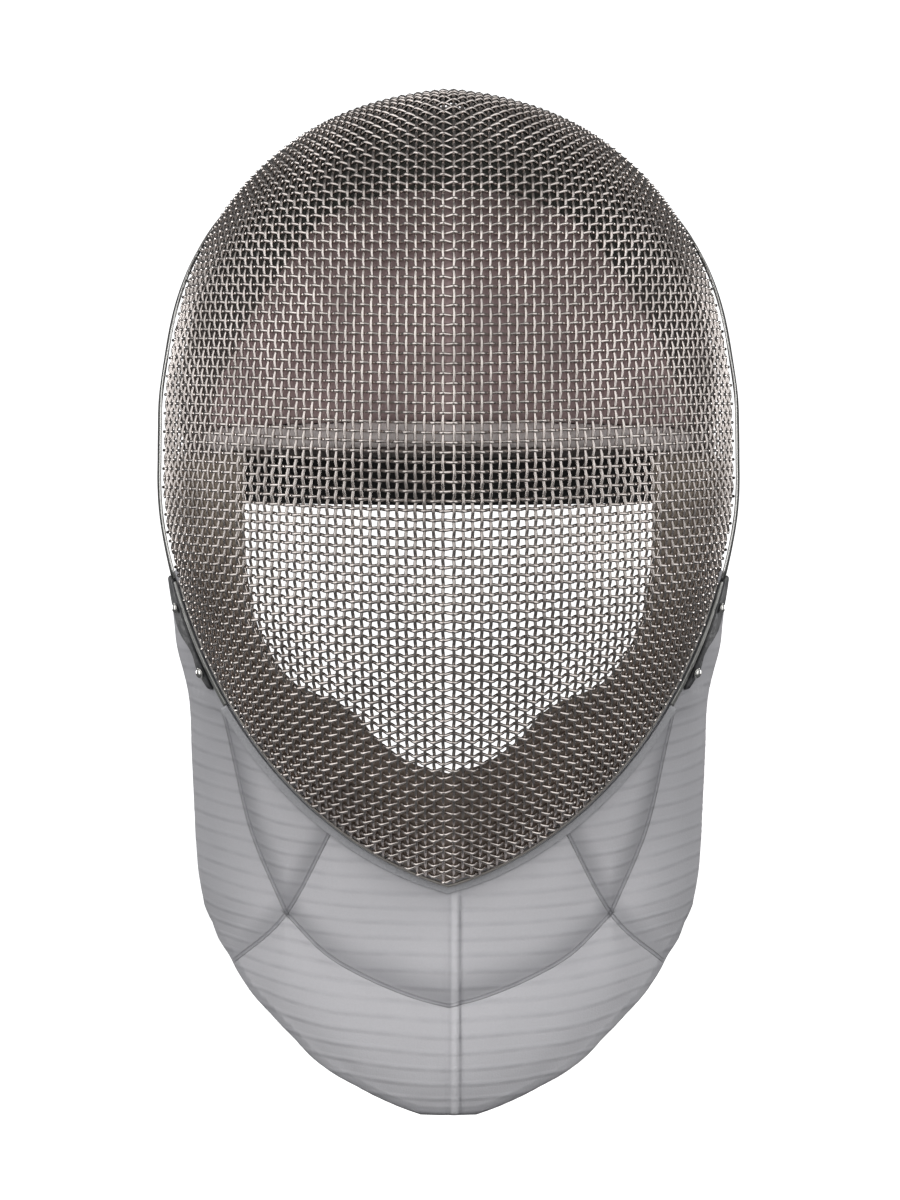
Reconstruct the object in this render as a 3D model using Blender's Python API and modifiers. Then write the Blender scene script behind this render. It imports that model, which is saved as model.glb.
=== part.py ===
"""Fencing mask: a creased wire-mesh face with inner padding, a rear strap and a quilted bib.

The mask faces -Y, +Z is up and +X is the wearer's left side. The origin is where the top of
the head sits under the crown lining. Tables and sizes are in millimetres, and MM turns them
into metres as the points are made.

The face is built from radial sections. Each section lies in a half-plane that turns about the
ear axis, a left-right line at EAR_HEIGHT, and is an arc of a rounded ellipse whose centre is
offset past the middle plane, so that the two halves meet in a crease, the ridge of the mask.
"""
import math

import bmesh
import bpy
import numpy as np
from mathutils import Vector

MM = 0.001
GAP = 0.35

# The mask form: height of the ear axis and half the width at that axis.
EAR_HEIGHT = -113.0
HALF_WIDTH = 99.2
WIRE = 1.05
MESH_WALL = 2 * WIRE

# angle from straight ahead, ridge radius, centre offset (a sharper ridge), roundness
SECTIONS = (
    (-84, 148.0, 30, 2.0),
    (-60, 119.0, 36, 2.1),
    (-40, 110.5, 64, 2.2),
    (-15, 107.5, 98, 2.2),
    (10, 114.0, 110, 2.12),
    (35, 124.9, 84, 2.17),
    (55, 134.2, 46, 2.3),
    (64, 135.9, 30, 2.27),
    (73, 132.9, 16, 2.34),
    (90, 123.5, 6, 2.35),
    (110, 119.5, 3, 2.3),
)

# The rim seen from the side: height, depth. Its ends are where it meets the ridge.
CHIN_ANGLE = -81.0
CROWN_ANGLE = 106.0
RIM_SIDE = (
    (-218, -22),
    (-178, -21),
    (-138, -18),
    (-98, -19),
    (-60, -17),
    (-31, -8),
    (-12, 8),
    (-2, 22),
)
RIM_TAB_HEIGHT = -150.0
BAND_WIDTH, BAND_THICK, BAND_GAP = 2.6, 0.6, 0.6
EDGING_RADIUS = 0.7
EDGE_WIRE_RADIUS, EDGE_WIRE_GAP = 0.8, 0.8

# Forehead pad, seen from the front: half-width and height of its arched edge.
PAD_BOTTOM = -99.5
PAD_ARCH = ((0, -21), (32, -24), (48, -34), (57, -46), (68, -62), (77, -81), (84, -96))
PAD_INSET, PAD_THICK = 3.2, 5.0
WELT_HEIGHT, WELT_HALF_SPAN = -104.0, 86.0
WELT_TALL, WELT_THICK = 8.0, 4.6

LINING_INSET, LINING_EDGE_INSET, LINING_THICK = 3.3, 3.0, 3.0
# The crown lining passes behind the pad and comes up close to the mesh beyond its sides.
CROWN_INSET, CROWN_EDGE_INSET, CROWN_THICK = 9.6, 6.7, 2.4
CROWN_TURN = (0.72, 0.92)
CROWN_FRONT_ANGLE, CROWN_TEMPLE_HEIGHT = 0.5, -112.0
# Its edge lies closer still above this share of its height, and tucks in below it.
CROWN_CLOSE_INSET, CROWN_TUCK = 4.4, 0.1
# The face lining runs on past the cut edge of the mesh by this share of its own width.
LINING_REACH = 1.05
# Inner edge of the face lining, seen from the front: half-width, height, from chin to temple.
WINDOW_EDGE = (
    (0, -218), (12, -215.5), (22, -209), (32, -200), (44, -193), (54, -186),
    (62, -173), (67.5, -158), (70, -143), (70.5, -127), (70.5, -110),
)

STRAP_HEIGHT, STRAP_TALL, STRAP_THICK = -101.0, 43.0, 2.0
STRAP_HALF_WIDTH, STRAP_FRONT, STRAP_BACK = 82.0, -26.0, 106.0

# Bib: height, half-width at its widest, depth of the widest place, degrees round to its hem.
BIB_SECTIONS = (
    (-333.5, 66, 10, 8.4),
    (-330.5, 67, 10, 15.3),
    (-325, 69, 10, 25.5),
    (-317, 73, 10, 36.8),
    (-306, 77, 10, 45.9),
    (-291, 80.5, 10, 60.2),
    (-280, 82, 10, 69.7),
    (-272, 83.4, 10, 77.5),
    (-262, 85, 9, 91),
    (-245, 84.7, 8, 103),
    (-220, 86, 8, 113),
    (-190, 87.5, 8, 119),
    (-165, 93.2, 8, 117),
    (-147, 95.9, 8, 109),
)
BIB_REAR_DEPTH = 62.0
# Depth of the bib's front line below the chin: height, depth.
BIB_FRONT = (
    (-333.5, -21), (-320, -24), (-300, -25), (-286, -23), (-272, -18.8), (-262, -16.6),
    (-255.5, -16.4),
)
BIB_WALL = 3.0
BIB_SETBACK = 6.2
QUILT_DEPTH, QUILT_REACH = 3.0, 9.0
# Quilting seams on one half, seen from the front: half-width, height.
SEAM_SIDE = ((77, -198), (71, -227), (66, -243), (56, -265))
SEAM_CHEEK = ((40, -236), (56, -265), (73, -281))
SEAM_SMILE = ((56, -265), (43, -277.5), (29, -285.5), (13, -292), (0, -295.5))
SEAM_MIDDLE = ((0, -254), (0, -333.5))
TAPE_WIDTH, TAPE_THICK, TAPE_LIFT = 3.6, 0.7, 0.9

# Side tab: height and reach back from the rim, along the bib's surface.
TAB_ROWS = (
    (-188, 3.7), (-184, 5.2), (-180, 5.9), (-176, 5.0), (-173.5, 5.8), (-171, 8.2), (-167, 12),
    (-163, 13.2), (-157.5, 15), (-149, 18),
)
TAB_FRONT, TAB_LIFT, TAB_THICK = 2.4, 0.5, 1.4
TAB_STRIP_WIDTH, TAB_STRIP_THICK, TAB_STRIP_BACK = 1.9, 1.0, 0.1
TAB_STRIP_TOP, TAB_STRIP_BOTTOM = -151.0, -193.0
RIVET_HEIGHTS = (-160.0, -182.0)
RIVET_BACK = (4.7, 3.6)
RIVET_RADIUS, RIVET_TALL, RIVET_LIFT = 1.9, 1.3, 0.5


def smooth(rows, column, where):
    """Cubic through one column of a table whose first column rises, with slopes at its rows."""
    xs = np.array([row[0] for row in rows], float)
    ys = np.array([row[column] for row in rows], float)
    step = np.diff(xs)
    rise = np.diff(ys) / step
    slope = np.empty(len(xs))
    slope[0], slope[-1] = rise[0], rise[-1]
    slope[1:-1] = (rise[:-1] * step[1:] + rise[1:] * step[:-1]) / (step[:-1] + step[1:])
    i = np.clip(np.searchsorted(xs, where, side="right") - 1, 0, len(xs) - 2)
    s = (where - xs[i]) / step[i]
    start = ys[i] * (1 + 2 * s) * (1 - s) ** 2 + slope[i] * step[i] * s * (1 - s) ** 2
    end = ys[i + 1] * s * s * (3 - 2 * s) + slope[i + 1] * step[i] * s * s * (s - 1)
    return start + end


def section(angle, inset):
    """Ridge radius, centre offset, roundness and start of the section at an angle."""
    ridge = smooth(SECTIONS, 1, angle) - inset
    offset = smooth(SECTIONS, 2, angle)
    roundness = smooth(SECTIONS, 3, angle)
    start = (offset / (HALF_WIDTH - inset + offset)) ** roundness
    full = ridge / (1 - start) ** (1 / roundness)
    return full, offset, roundness, np.arcsin(np.sqrt(start))


def mask_point(angle, lateral, inset=0.0):
    """Point of the mask: lateral runs from -1 to 1, ear axis to ridge to ear axis."""
    angle, lateral = np.broadcast_arrays(np.asarray(angle, float), np.asarray(lateral, float))
    full, offset, roundness, first = section(angle, inset)
    turn = first + (math.pi / 2 - first) * np.abs(lateral)
    across = (HALF_WIDTH - inset + offset) * np.sin(turn) ** (2 / roundness) - offset
    radius = full * np.cos(turn) ** (2 / roundness)
    tilt = np.radians(angle)
    x = np.where(lateral < 0, -across, across)
    return np.stack([x, -radius * np.cos(tilt), EAR_HEIGHT + radius * np.sin(tilt)], axis=-1)


def lateral_at_radius(angle, radius):
    """Lateral place on the outer surface at a distance from the ear axis."""
    full, offset, roundness, first = section(angle, 0.0)
    turn = np.arccos(np.clip(radius / full, 0, 1) ** (roundness / 2))
    return np.clip((turn - first) / (math.pi / 2 - first), 0, 1)


def rim_rows():
    """The rim's side view with its two ends on the ridge: place, height, depth."""
    ends = mask_point(np.array([CHIN_ANGLE, CROWN_ANGLE]), 0.0)
    points = [(ends[0, 2], ends[0, 1]), *RIM_SIDE, (ends[1, 2], ends[1, 1])]
    places = np.linspace(0, 1, len(points))
    return [(place, *point) for place, point in zip(places, points)]


def rim_coords(place):
    """Angle and lateral place of the rim, from the chin at 0 to the crown at 1."""
    height = smooth(rim_rows(), 1, place)
    depth = smooth(rim_rows(), 2, place)
    angle = np.degrees(np.arctan2(height - EAR_HEIGHT, -depth))
    return angle, lateral_at_radius(angle, np.hypot(height - EAR_HEIGHT, depth))


def rim_place(height):
    """Place along the rim that is at a height, found by halving."""
    low, high = np.zeros_like(height), np.ones_like(height)
    for _ in range(40):
        middle = (low + high) / 2
        below = smooth(rim_rows(), 1, middle) < height
        low, high = np.where(below, middle, low), np.where(below, high, middle)
    return (low + high) / 2


def front_coords(x, height):
    """Angle and lateral place of the outer surface seen from the front at x and height."""
    x, height = np.broadcast_arrays(np.asarray(x, float), np.asarray(height, float))
    low, high = np.full(x.shape, -88.0), np.full(x.shape, 88.0)

    def place(angle):
        full, offset, roundness, first = section(angle, 0.0)
        sine = ((np.abs(x) + offset) / (HALF_WIDTH + offset)) ** (roundness / 2)
        turn = np.arcsin(np.clip(sine, 0, 1))
        radius = full * np.cos(turn) ** (2 / roundness)
        lateral = (turn - first) / (math.pi / 2 - first)
        return lateral, EAR_HEIGHT + radius * np.sin(np.radians(angle))

    for _ in range(40):
        middle = (low + high) / 2
        below = place(middle)[1] < height
        low, high = np.where(below, middle, low), np.where(below, high, middle)
    return middle, np.sign(x) * np.clip(place(middle)[0], 0, 1)


def blend(start, end, share):
    """Pairs of coordinates on the way from one pair to another."""
    return tuple(a + (b - a) * share for a, b in zip(start, end))


def outward(point_at, rising, sideways_out):
    """Unit outward normals of a surface, by small steps of its upward and sideways values."""
    small = 1e-3
    up = point_at(rising + small, sideways_out) - point_at(rising - small, sideways_out)
    out = point_at(rising, sideways_out + small) - point_at(rising, sideways_out - small)
    normal = np.cross(out, up)
    return normal / np.linalg.norm(normal, axis=-1, keepdims=True)


def bib_front(height):
    """Degrees round a bib section to its sewn edge, and the depth of the section's front."""
    chin = mask_point(np.array(CHIN_ANGLE), 0.0)[2]
    rim = mask_point(*rim_coords(rim_place(np.maximum(height, chin))))
    sine = np.where(height > chin, rim[..., 0] / smooth(BIB_SECTIONS, 1, height), 0.0)
    cosine = np.sqrt(1 - sine**2)
    behind = smooth(BIB_SECTIONS, 2, height) * (1 - cosine)
    above = (rim[..., 1] + BIB_SETBACK - behind) / cosine
    below = smooth(BIB_FRONT, 1, np.minimum(height, chin))
    return np.degrees(np.arcsin(sine)), np.where(height > chin, above, below)


def bib_base(height, turn):
    """Bib surface before quilting: elliptic sections, turned in degrees from the front."""
    height, turn = np.broadcast_arrays(np.asarray(height, float), np.asarray(turn, float))
    widest = smooth(BIB_SECTIONS, 2, height)
    cosine = np.cos(np.radians(turn))
    depth = np.where(cosine > 0, widest - bib_front(height)[1], BIB_REAR_DEPTH)
    x = smooth(BIB_SECTIONS, 1, height) * np.sin(np.radians(turn))
    return np.stack([x, widest - depth * cosine, height], axis=-1)


def bib_behind(height, reach):
    """Degrees round a bib section to a place some way back from its sewn edge."""
    first, front = bib_front(height)
    widest = smooth(BIB_SECTIONS, 2, height)
    ahead = (widest - front) * np.cos(np.radians(first)) - reach
    cosine = ahead / np.where(ahead > 0, widest - front, BIB_REAR_DEPTH)
    return np.degrees(np.arccos(cosine))


def seam_distance(x, height):
    """Distance, seen from the front, to the nearest quilting seam."""
    nearest = np.full(x.shape, 1e3)
    for seam in (SEAM_SIDE, SEAM_CHEEK, SEAM_SMILE, SEAM_MIDDLE):
        for (x0, z0), (x1, z1) in zip(seam[:-1], seam[1:]):
            run, rise = x1 - x0, z1 - z0
            share = ((x - x0) * run + (height - z0) * rise) / (run * run + rise * rise)
            share = np.clip(share, 0, 1)
            away = np.hypot(x - x0 - share * run, height - z0 - share * rise)
            nearest = np.minimum(nearest, away)
    return nearest


def bib_point(height, turn):
    """Quilted bib surface: it puffs out between the seams, the tabs and the edges."""
    base = bib_base(height, turn)
    normal = outward(bib_base, height, turn)
    along = np.linspace(BIB_SECTIONS[0][0], BIB_SECTIONS[-1][0], 80)
    hem = bib_base(along, smooth(BIB_SECTIONS, 3, along))
    sewn = bib_base(along, bib_front(along)[0])[along > SEAM_MIDDLE[0][1]]
    to_hem = np.linalg.norm(base[..., None, :] - hem, axis=-1).min(axis=-1)
    to_rim = np.linalg.norm(base[..., None, :] - sewn, axis=-1).min(axis=-1)
    under_tab = np.where(height > TAB_ROWS[0][0], smooth(TAB_ROWS, 1, height), 0.0)
    to_seam = np.where(turn < 90, seam_distance(base[..., 0], height), to_hem)
    away = np.minimum(np.minimum(to_seam, to_hem), np.maximum(to_rim - under_tab, 0))
    away = np.minimum(away, BIB_SECTIONS[-1][0] - height)
    puff = QUILT_DEPTH * (1 - np.exp(-((away / QUILT_REACH) ** 2)))
    return base + normal * puff[..., None]


def finish(obj, collection, colour, roughness, metallic):
    """Give an object its own material and put it in the mask's collection."""
    material = bpy.data.materials.new(obj.name + "_finish")
    material.use_nodes = True
    shader = material.node_tree.nodes["Principled BSDF"]
    shader.inputs["Base Color"].default_value = (*colour, 1.0)
    shader.inputs["Roughness"].default_value = roughness
    shader.inputs["Metallic"].default_value = metallic
    obj.data.materials.clear()
    obj.data.materials.append(material)
    collection.objects.link(obj)
    return obj


def grid_mesh(name, points, closed=False):
    """Mesh of quads over rows of points in millimetres; closed joins the last column."""
    rows, columns = points.shape[:2]
    index = np.arange(rows * columns).reshape(rows, columns)
    last = columns if closed else columns - 1
    right = np.roll(index, -1, axis=1)
    quads = np.stack([index[:-1, :last], right[:-1, :last], right[1:, :last],
                      index[1:, :last]], axis=-1).reshape(-1, 4)
    faces = quads.tolist()
    if closed:
        faces += [index[0, ::-1].tolist(), index[-1].tolist()]
    mesh = bpy.data.meshes.new(name)
    mesh.from_pydata((points.reshape(-1, 3) * MM).tolist(), [], faces)
    work = bmesh.new()
    work.from_mesh(mesh)
    bmesh.ops.remove_doubles(work, verts=work.verts, dist=1e-6)
    if closed:
        bmesh.ops.recalc_face_normals(work, faces=work.faces)
    work.to_mesh(mesh)
    work.free()
    return mesh


def shell(name, points, thickness):
    """Open grid surface, its front given, with a wall that grows to its inner side."""
    mesh = grid_mesh(name, points)
    mesh.shade_smooth()
    obj = bpy.data.objects.new(name, mesh)
    wall = obj.modifiers.new("wall", "SOLIDIFY")
    wall.thickness = thickness * MM
    wall.offset = -1.0
    wall.use_even_offset = True
    wall.thickness_clamp = 0.5
    return obj


def sideways(points, normals):
    """Unit directions across a path, in the surface whose normals are given."""
    across = np.cross(normals, np.gradient(points, axis=0))
    return across / np.linalg.norm(across, axis=1, keepdims=True)


def ribbon(name, points, normals, profile):
    """Profile of (across, out) pairs carried along a path on a surface with given normals."""
    across = sideways(points, normals)
    rings = [points + across * b + normals * n for b, n in profile]
    return bpy.data.objects.new(name, grid_mesh(name, np.stack(rings, axis=1), closed=True))


def wire(name, points, radius):
    """Round wire along a path, as a curve with closed ends."""
    curve = bpy.data.curves.new(name, "CURVE")
    curve.dimensions = "3D"
    curve.bevel_depth = radius * MM
    curve.bevel_resolution = 2
    curve.use_fill_caps = True
    spline = curve.splines.new("POLY")
    spline.points.add(len(points) - 1)
    flat = np.concatenate([points * MM, np.ones((len(points), 1))], axis=1)
    spline.points.foreach_set("co", flat.ravel())
    return bpy.data.objects.new(name, curve)


def rivet_head(name, base, out):
    """Domed rivet head standing on a surface along the direction out."""
    work = bmesh.new()
    bmesh.ops.create_cone(work, cap_ends=True, segments=16, radius1=RIVET_RADIUS * MM,
                          radius2=RIVET_RADIUS * MM / 2, depth=RIVET_TALL * MM)
    bmesh.ops.translate(work, verts=work.verts, vec=(0, 0, RIVET_TALL * MM / 2))
    mesh = bpy.data.meshes.new(name)
    work.to_mesh(mesh)
    work.free()
    obj = bpy.data.objects.new(name, mesh)
    obj.location = Vector(base) * MM
    obj.rotation_euler = Vector(out).to_track_quat("Z", "Y").to_euler()
    return obj


def box_profile(low, high, inner, outer):
    """Four corners of a flat profile: across from low to high, out from inner to outer."""
    return ((low, inner), (high, inner), (high, outer), (low, outer))


def oval_profile(tall, thick, sides=8):
    """Oval profile, as tall across the path as tall, and thick out of the surface."""
    turns = np.arange(sides) * math.tau / sides
    return tuple((tall / 2 * math.cos(t), thick / 2 * math.sin(t)) for t in turns)


def across_middle(half):
    """Path or normals of one side, from the middle out, joined to their mirror image."""
    return np.concatenate([half[:0:-1] * (-1, 1, 1), half])


def rim_path(middle_place, end_height, count, inset=0.0):
    """Rim points and outward normals from side to side, through the chin or the crown."""
    place = np.linspace(middle_place, float(rim_place(np.array(end_height))), count)
    angle, lateral = rim_coords(place)
    lateral[0] = 0.0
    points = mask_point(angle, lateral, inset)
    normals = outward(mask_point, angle, lateral)
    return across_middle(points), across_middle(normals)


def bib_path(heights, reach=0.0):
    """Points and outward normals on the unquilted bib, some way back from its sewn edge."""
    turn = bib_behind(heights, reach)
    return bib_base(heights, turn), outward(bib_base, heights, turn)


def make_mesh(collection):
    """Pressed wire mesh as one wall, from the ridge to the rim on both sides."""
    rows, half = 27, 10
    place = np.linspace(0, 1, rows)[:, None]
    share = np.linspace(-1, 1, 2 * half + 1)[None, :]
    ridge_angle = CHIN_ANGLE + (CROWN_ANGLE - CHIN_ANGLE) * place
    rim_angle, rim_lateral = rim_coords(place)
    angle, lateral = blend((ridge_angle, 0.0), (rim_angle, rim_lateral), np.abs(share))
    lateral = lateral * np.sign(share)
    obj = shell("wire_mesh", mask_point(angle, lateral), MESH_WALL)
    return finish(obj, collection, (0.62, 0.61, 0.58), 0.35, 1.0)


def make_rim(collection):
    """Steel band and dark edging from tab to tab over the crown, and a wire under the chin."""
    points, normals = rim_path(1.0, RIM_TAB_HEIGHT, 25)
    band = ribbon("rim_band", points, normals,
                  box_profile(-BAND_WIDTH, 0.0, BAND_GAP, BAND_GAP + BAND_THICK))
    finish(band, collection, (0.70, 0.69, 0.66), 0.30, 1.0)

    away = sideways(points, normals) * (EDGING_RADIUS + GAP)
    edging = wire("rim_edging", points + away + normals * (BAND_GAP + BAND_THICK / 2),
                  EDGING_RADIUS)
    finish(edging, collection, (0.03, 0.03, 0.03), 0.55, 0.0)

    points, normals = rim_path(0.0, TAB_STRIP_TOP, 21, MESH_WALL / 2)
    away = sideways(points, normals) * (EDGE_WIRE_RADIUS + EDGE_WIRE_GAP)
    chin_wire = wire("chin_rim_wire", points - away, EDGE_WIRE_RADIUS)
    finish(chin_wire, collection, (0.10, 0.10, 0.10), 0.40, 1.0)


def make_padding(collection):
    """Forehead pad and its welt, the crown lining over them and the lining round the face."""
    side = np.linspace(-1, 1, 21)[None, :]
    rise = np.linspace(0, 1, 9)[:, None]
    x = side * PAD_ARCH[-1][0]
    top = smooth(PAD_ARCH, 1, np.abs(x))
    angle, lateral = front_coords(x, PAD_BOTTOM + (top - PAD_BOTTOM) * rise)
    pad = shell("forehead_pad", mask_point(angle, lateral, PAD_INSET), PAD_THICK)
    finish(pad, collection, (0.26, 0.21, 0.23), 0.9, 0.0)

    angle, lateral = front_coords(np.linspace(-1, 1, 27) * WELT_HALF_SPAN, WELT_HEIGHT)
    points = mask_point(angle, lateral, PAD_INSET + PAD_THICK / 2)
    normals = outward(mask_point, angle, lateral)
    welt = ribbon("pad_welt", points, normals, oval_profile(WELT_TALL, WELT_THICK))
    finish(welt, collection, (0.50, 0.42, 0.42), 0.85, 0.0)

    reach = np.linspace(0, 1, 12)[:, None]
    share = np.linspace(-1, 1, 17)[None, :]
    first = float(rim_place(np.array(CROWN_TEMPLE_HEIGHT)))
    place = first + (0.985 - first) * reach
    rim_angle, rim_lateral = rim_coords(place)
    ridge_angle = CROWN_FRONT_ANGLE + (CROWN_ANGLE - 2 - CROWN_FRONT_ANGLE) * reach
    angle, lateral = blend((ridge_angle, 0.0), (rim_angle, rim_lateral), 0.97 * np.abs(share))
    turn = np.clip((np.abs(share) - CROWN_TURN[0]) / (CROWN_TURN[1] - CROWN_TURN[0]), 0, 1)
    tuck = np.clip(1 - reach / CROWN_TUCK, 0, 1)
    edge = CROWN_CLOSE_INSET + (CROWN_EDGE_INSET - CROWN_CLOSE_INSET) * tuck
    inset = CROWN_INSET + (edge - CROWN_INSET) * turn * turn * (3 - 2 * turn)
    crown = shell("crown_lining", mask_point(angle, lateral * np.sign(share), inset), CROWN_THICK)
    finish(crown, collection, (0.05, 0.05, 0.04), 0.9, 0.0)

    step = np.linspace(0, 1, 15)
    window = np.array(WINDOW_EDGE, float)
    rows = [(place, *point) for place, point in zip(np.linspace(0, 1, len(window)), window)]
    inner = front_coords(smooth(rows, 1, step), smooth(rows, 2, step))
    top_place = float(rim_place(np.array(WINDOW_EDGE[-1][1])))
    outer = rim_coords(step * top_place)
    share = np.linspace(0, LINING_REACH, 7)[None, :]
    angle, lateral = blend((inner[0][:, None], inner[1][:, None]),
                           (outer[0][:, None], outer[1][:, None]), share)
    inset = LINING_INSET + (LINING_EDGE_INSET - LINING_INSET) * share
    points = across_middle(mask_point(angle, lateral, inset))
    lining = shell("face_lining", points, LINING_THICK)
    finish(lining, collection, (0.05, 0.045, 0.04), 0.9, 0.0)


def make_strap(collection):
    """Elastic strap round the back of the head, between the two sides of the mask."""
    turn = np.linspace(-90, 90, 33)
    x = STRAP_HALF_WIDTH * np.sin(np.radians(turn))
    round_back = np.cos(np.radians(turn)) ** 0.8
    y = STRAP_FRONT + (STRAP_BACK - STRAP_FRONT) * round_back
    points = np.stack([x, y, np.full_like(x, STRAP_HEIGHT)], axis=1)
    along = np.gradient(points, axis=0)
    normals = np.cross(along, (0, 0, 1))
    normals /= np.linalg.norm(normals, axis=1, keepdims=True)
    strap = ribbon("back_strap", points, normals,
                   box_profile(-STRAP_TALL / 2, STRAP_TALL / 2, 0.0, STRAP_THICK))
    finish(strap, collection, (0.01, 0.01, 0.01), 0.85, 0.0)


def make_bib(collection):
    """Quilted bib hanging from the lower rim, and the tape over its sewn edge."""
    chin = float(mask_point(np.array(CHIN_ANGLE), 0.0)[2])
    heights = np.concatenate([np.linspace(BIB_SECTIONS[0][0], chin, 13)[:-1],
                              np.linspace(chin, BIB_SECTIONS[-1][0], 15)])[:, None]
    first = bib_front(heights)[0]
    turn = first + (smooth(BIB_SECTIONS, 3, heights) - first) * np.linspace(0, 1, 17)[None, :]
    points = bib_point(heights, turn)
    points[heights[:, 0] <= chin + 1e-6, 0, 0] = 0.0
    bib = shell("bib", points, BIB_WALL)
    fold = bib.modifiers.new("other_half", "MIRROR")
    fold.merge_threshold = 0.0001
    bib.modifiers.move(1, 0)
    finish(bib, collection, (0.42, 0.42, 0.44), 0.85, 0.0)


def make_bib_tape(collection):
    """Tape over the bib's sewn edge, from one side strip round the chin to the other."""
    chin = float(mask_point(np.array(CHIN_ANGLE), 0.0)[2])
    heights = chin + (TAB_STRIP_BOTTOM - chin) * np.linspace(0, 1, 16) ** 1.4
    half, out = bib_path(heights + 1e-3)
    half[0, 0] = 0.0
    out[0] = (0, -1, 0)
    tape = ribbon("bib_tape", across_middle(half), across_middle(out),
                  box_profile(-TAPE_WIDTH, -GAP, TAPE_LIFT, TAPE_LIFT + TAPE_THICK))
    finish(tape, collection, (0.36, 0.36, 0.38), 0.85, 0.0)


def make_tabs(collection):
    """On each side a dark tab on the bib, a steel strip along the rim and two rivets."""
    heights = np.linspace(TAB_ROWS[0][0], TAB_ROWS[-1][0], 12)
    reach = smooth(TAB_ROWS, 1, heights)
    columns = [bib_path(heights, TAB_FRONT + (reach - TAB_FRONT) * share)
               for share in np.linspace(0, 1, 7)]
    outer = TAB_LIFT + TAB_THICK
    face = np.stack([points + out * outer for points, out in columns], axis=1)
    strip_points, strip_out = bib_path(np.linspace(TAB_STRIP_BOTTOM, TAB_STRIP_TOP, 10))
    strip_profile = box_profile(-TAB_STRIP_BACK - TAB_STRIP_WIDTH, -TAB_STRIP_BACK,
                                TAB_LIFT, TAB_LIFT + TAB_STRIP_THICK)
    rivet_points, rivet_out = bib_path(np.array(RIVET_HEIGHTS), np.array(RIVET_BACK))
    for side, word in ((1, "left"), (-1, "right")):
        flip = np.array((side, 1, 1))
        tab = shell("side_tab_" + word, (face * flip)[::side], TAB_THICK)
        finish(tab, collection, (0.02, 0.02, 0.02), 0.45, 0.0)
        strip = ribbon("tab_strip_" + word, strip_points * flip, strip_out * flip,
                       [(across * side, up) for across, up in strip_profile])
        finish(strip, collection, (0.40, 0.40, 0.38), 0.45, 1.0)
        for number, (point, out) in enumerate(zip(rivet_points * flip, rivet_out * flip), 1):
            base = point + out * (outer + RIVET_LIFT)
            rivet = rivet_head(f"rivet_{word}_{number}", base, out)
            finish(rivet, collection, (0.75, 0.74, 0.70), 0.20, 1.0)


def main():
    for obj in list(bpy.data.objects):
        bpy.data.objects.remove(obj, do_unlink=True)
    collection = bpy.data.collections.new("fencing_mask")
    bpy.context.scene.collection.children.link(collection)
    make_mesh(collection)
    make_rim(collection)
    make_padding(collection)
    make_strap(collection)
    make_bib(collection)
    make_bib_tape(collection)
    make_tabs(collection)


main()
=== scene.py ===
import math

import bpy
import numpy as np
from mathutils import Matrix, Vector


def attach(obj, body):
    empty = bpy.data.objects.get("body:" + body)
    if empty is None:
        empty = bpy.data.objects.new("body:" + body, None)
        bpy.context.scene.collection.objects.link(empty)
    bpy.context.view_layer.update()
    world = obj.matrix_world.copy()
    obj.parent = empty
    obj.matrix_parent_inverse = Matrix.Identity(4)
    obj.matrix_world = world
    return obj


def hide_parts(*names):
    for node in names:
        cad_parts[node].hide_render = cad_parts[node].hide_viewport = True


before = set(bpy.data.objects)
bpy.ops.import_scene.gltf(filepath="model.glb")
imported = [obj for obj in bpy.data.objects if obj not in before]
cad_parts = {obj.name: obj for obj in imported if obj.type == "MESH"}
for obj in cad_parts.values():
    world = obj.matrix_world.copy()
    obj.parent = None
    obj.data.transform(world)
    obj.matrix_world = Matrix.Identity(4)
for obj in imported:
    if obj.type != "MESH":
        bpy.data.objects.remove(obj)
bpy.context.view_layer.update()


# ---- Woven face -----------------------------------------------------------------------------
# Plain-woven steel wire, pressed over a former so that its two halves meet in a crease. Every
# wire runs over one crossing and under the next, and the cloth keeps its pitch while its
# squares shear over the dome. It is cut off along the rim.

MM = 0.001
EAR_HEIGHT = -113.0
HALF_WIDTH = 99.2
CHIN_ANGLE, CROWN_ANGLE = -81.0, 106.0
# Angles that the first wires are laid through, and those between which they start.
FORM_ANGLES, MIDDLE_ANGLES = (-88.0, 112.0), (-60.0, 60.0)
ANGLE_STEPS, SIDE_STEPS, SIDE_MARGIN = 4001, 3000, 0.05
# angle from straight ahead, ridge radius, centre offset (a sharper ridge), roundness
SECTIONS = (
    (-84, 148.0, 30, 2.0),
    (-60, 119.0, 36, 2.1),
    (-40, 110.5, 64, 2.2),
    (-15, 107.5, 98, 2.2),
    (10, 114.0, 110, 2.12),
    (35, 124.9, 84, 2.17),
    (55, 134.2, 46, 2.3),
    (64, 135.9, 30, 2.27),
    (73, 132.9, 16, 2.34),
    (90, 123.5, 6, 2.35),
    (110, 119.5, 3, 2.3),
)
# The rim seen from the side: height, depth.
RIM_SIDE = (
    (-218, -22),
    (-178, -21),
    (-138, -18),
    (-98, -19),
    (-60, -17),
    (-31, -8),
    (-12, 8),
    (-2, 22),
)
# Thickness of the wire, half the woven wall's, and the radius that it is drawn with.
WIRE = 1.05
WIRE_RADIUS = 0.57
PITCH = 3.15
MIDDLE_GAP = 1.12 * PITCH
WEAVE_START_HEIGHT = -95.0
# The cross wires rise to the side, and bend up a little more in a square law.
WEAVE_RISE, WEAVE_BEND = 0.03, 0.0005
WIRE_SIDES = 6
# Crimp of the nearly straight uprights and of the cross wires that bend round them. The two
# add up to a little more than one wire's thickness.
UPRIGHT_CRIMP, CROSS_CRIMP = 0.34, 0.78
# Where each wire's bends lie, in pitches from a crossing.
UPRIGHT_BENDS, CROSS_BENDS = (-0.22, 0.22), (-0.28, 0.0, 0.28)


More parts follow.
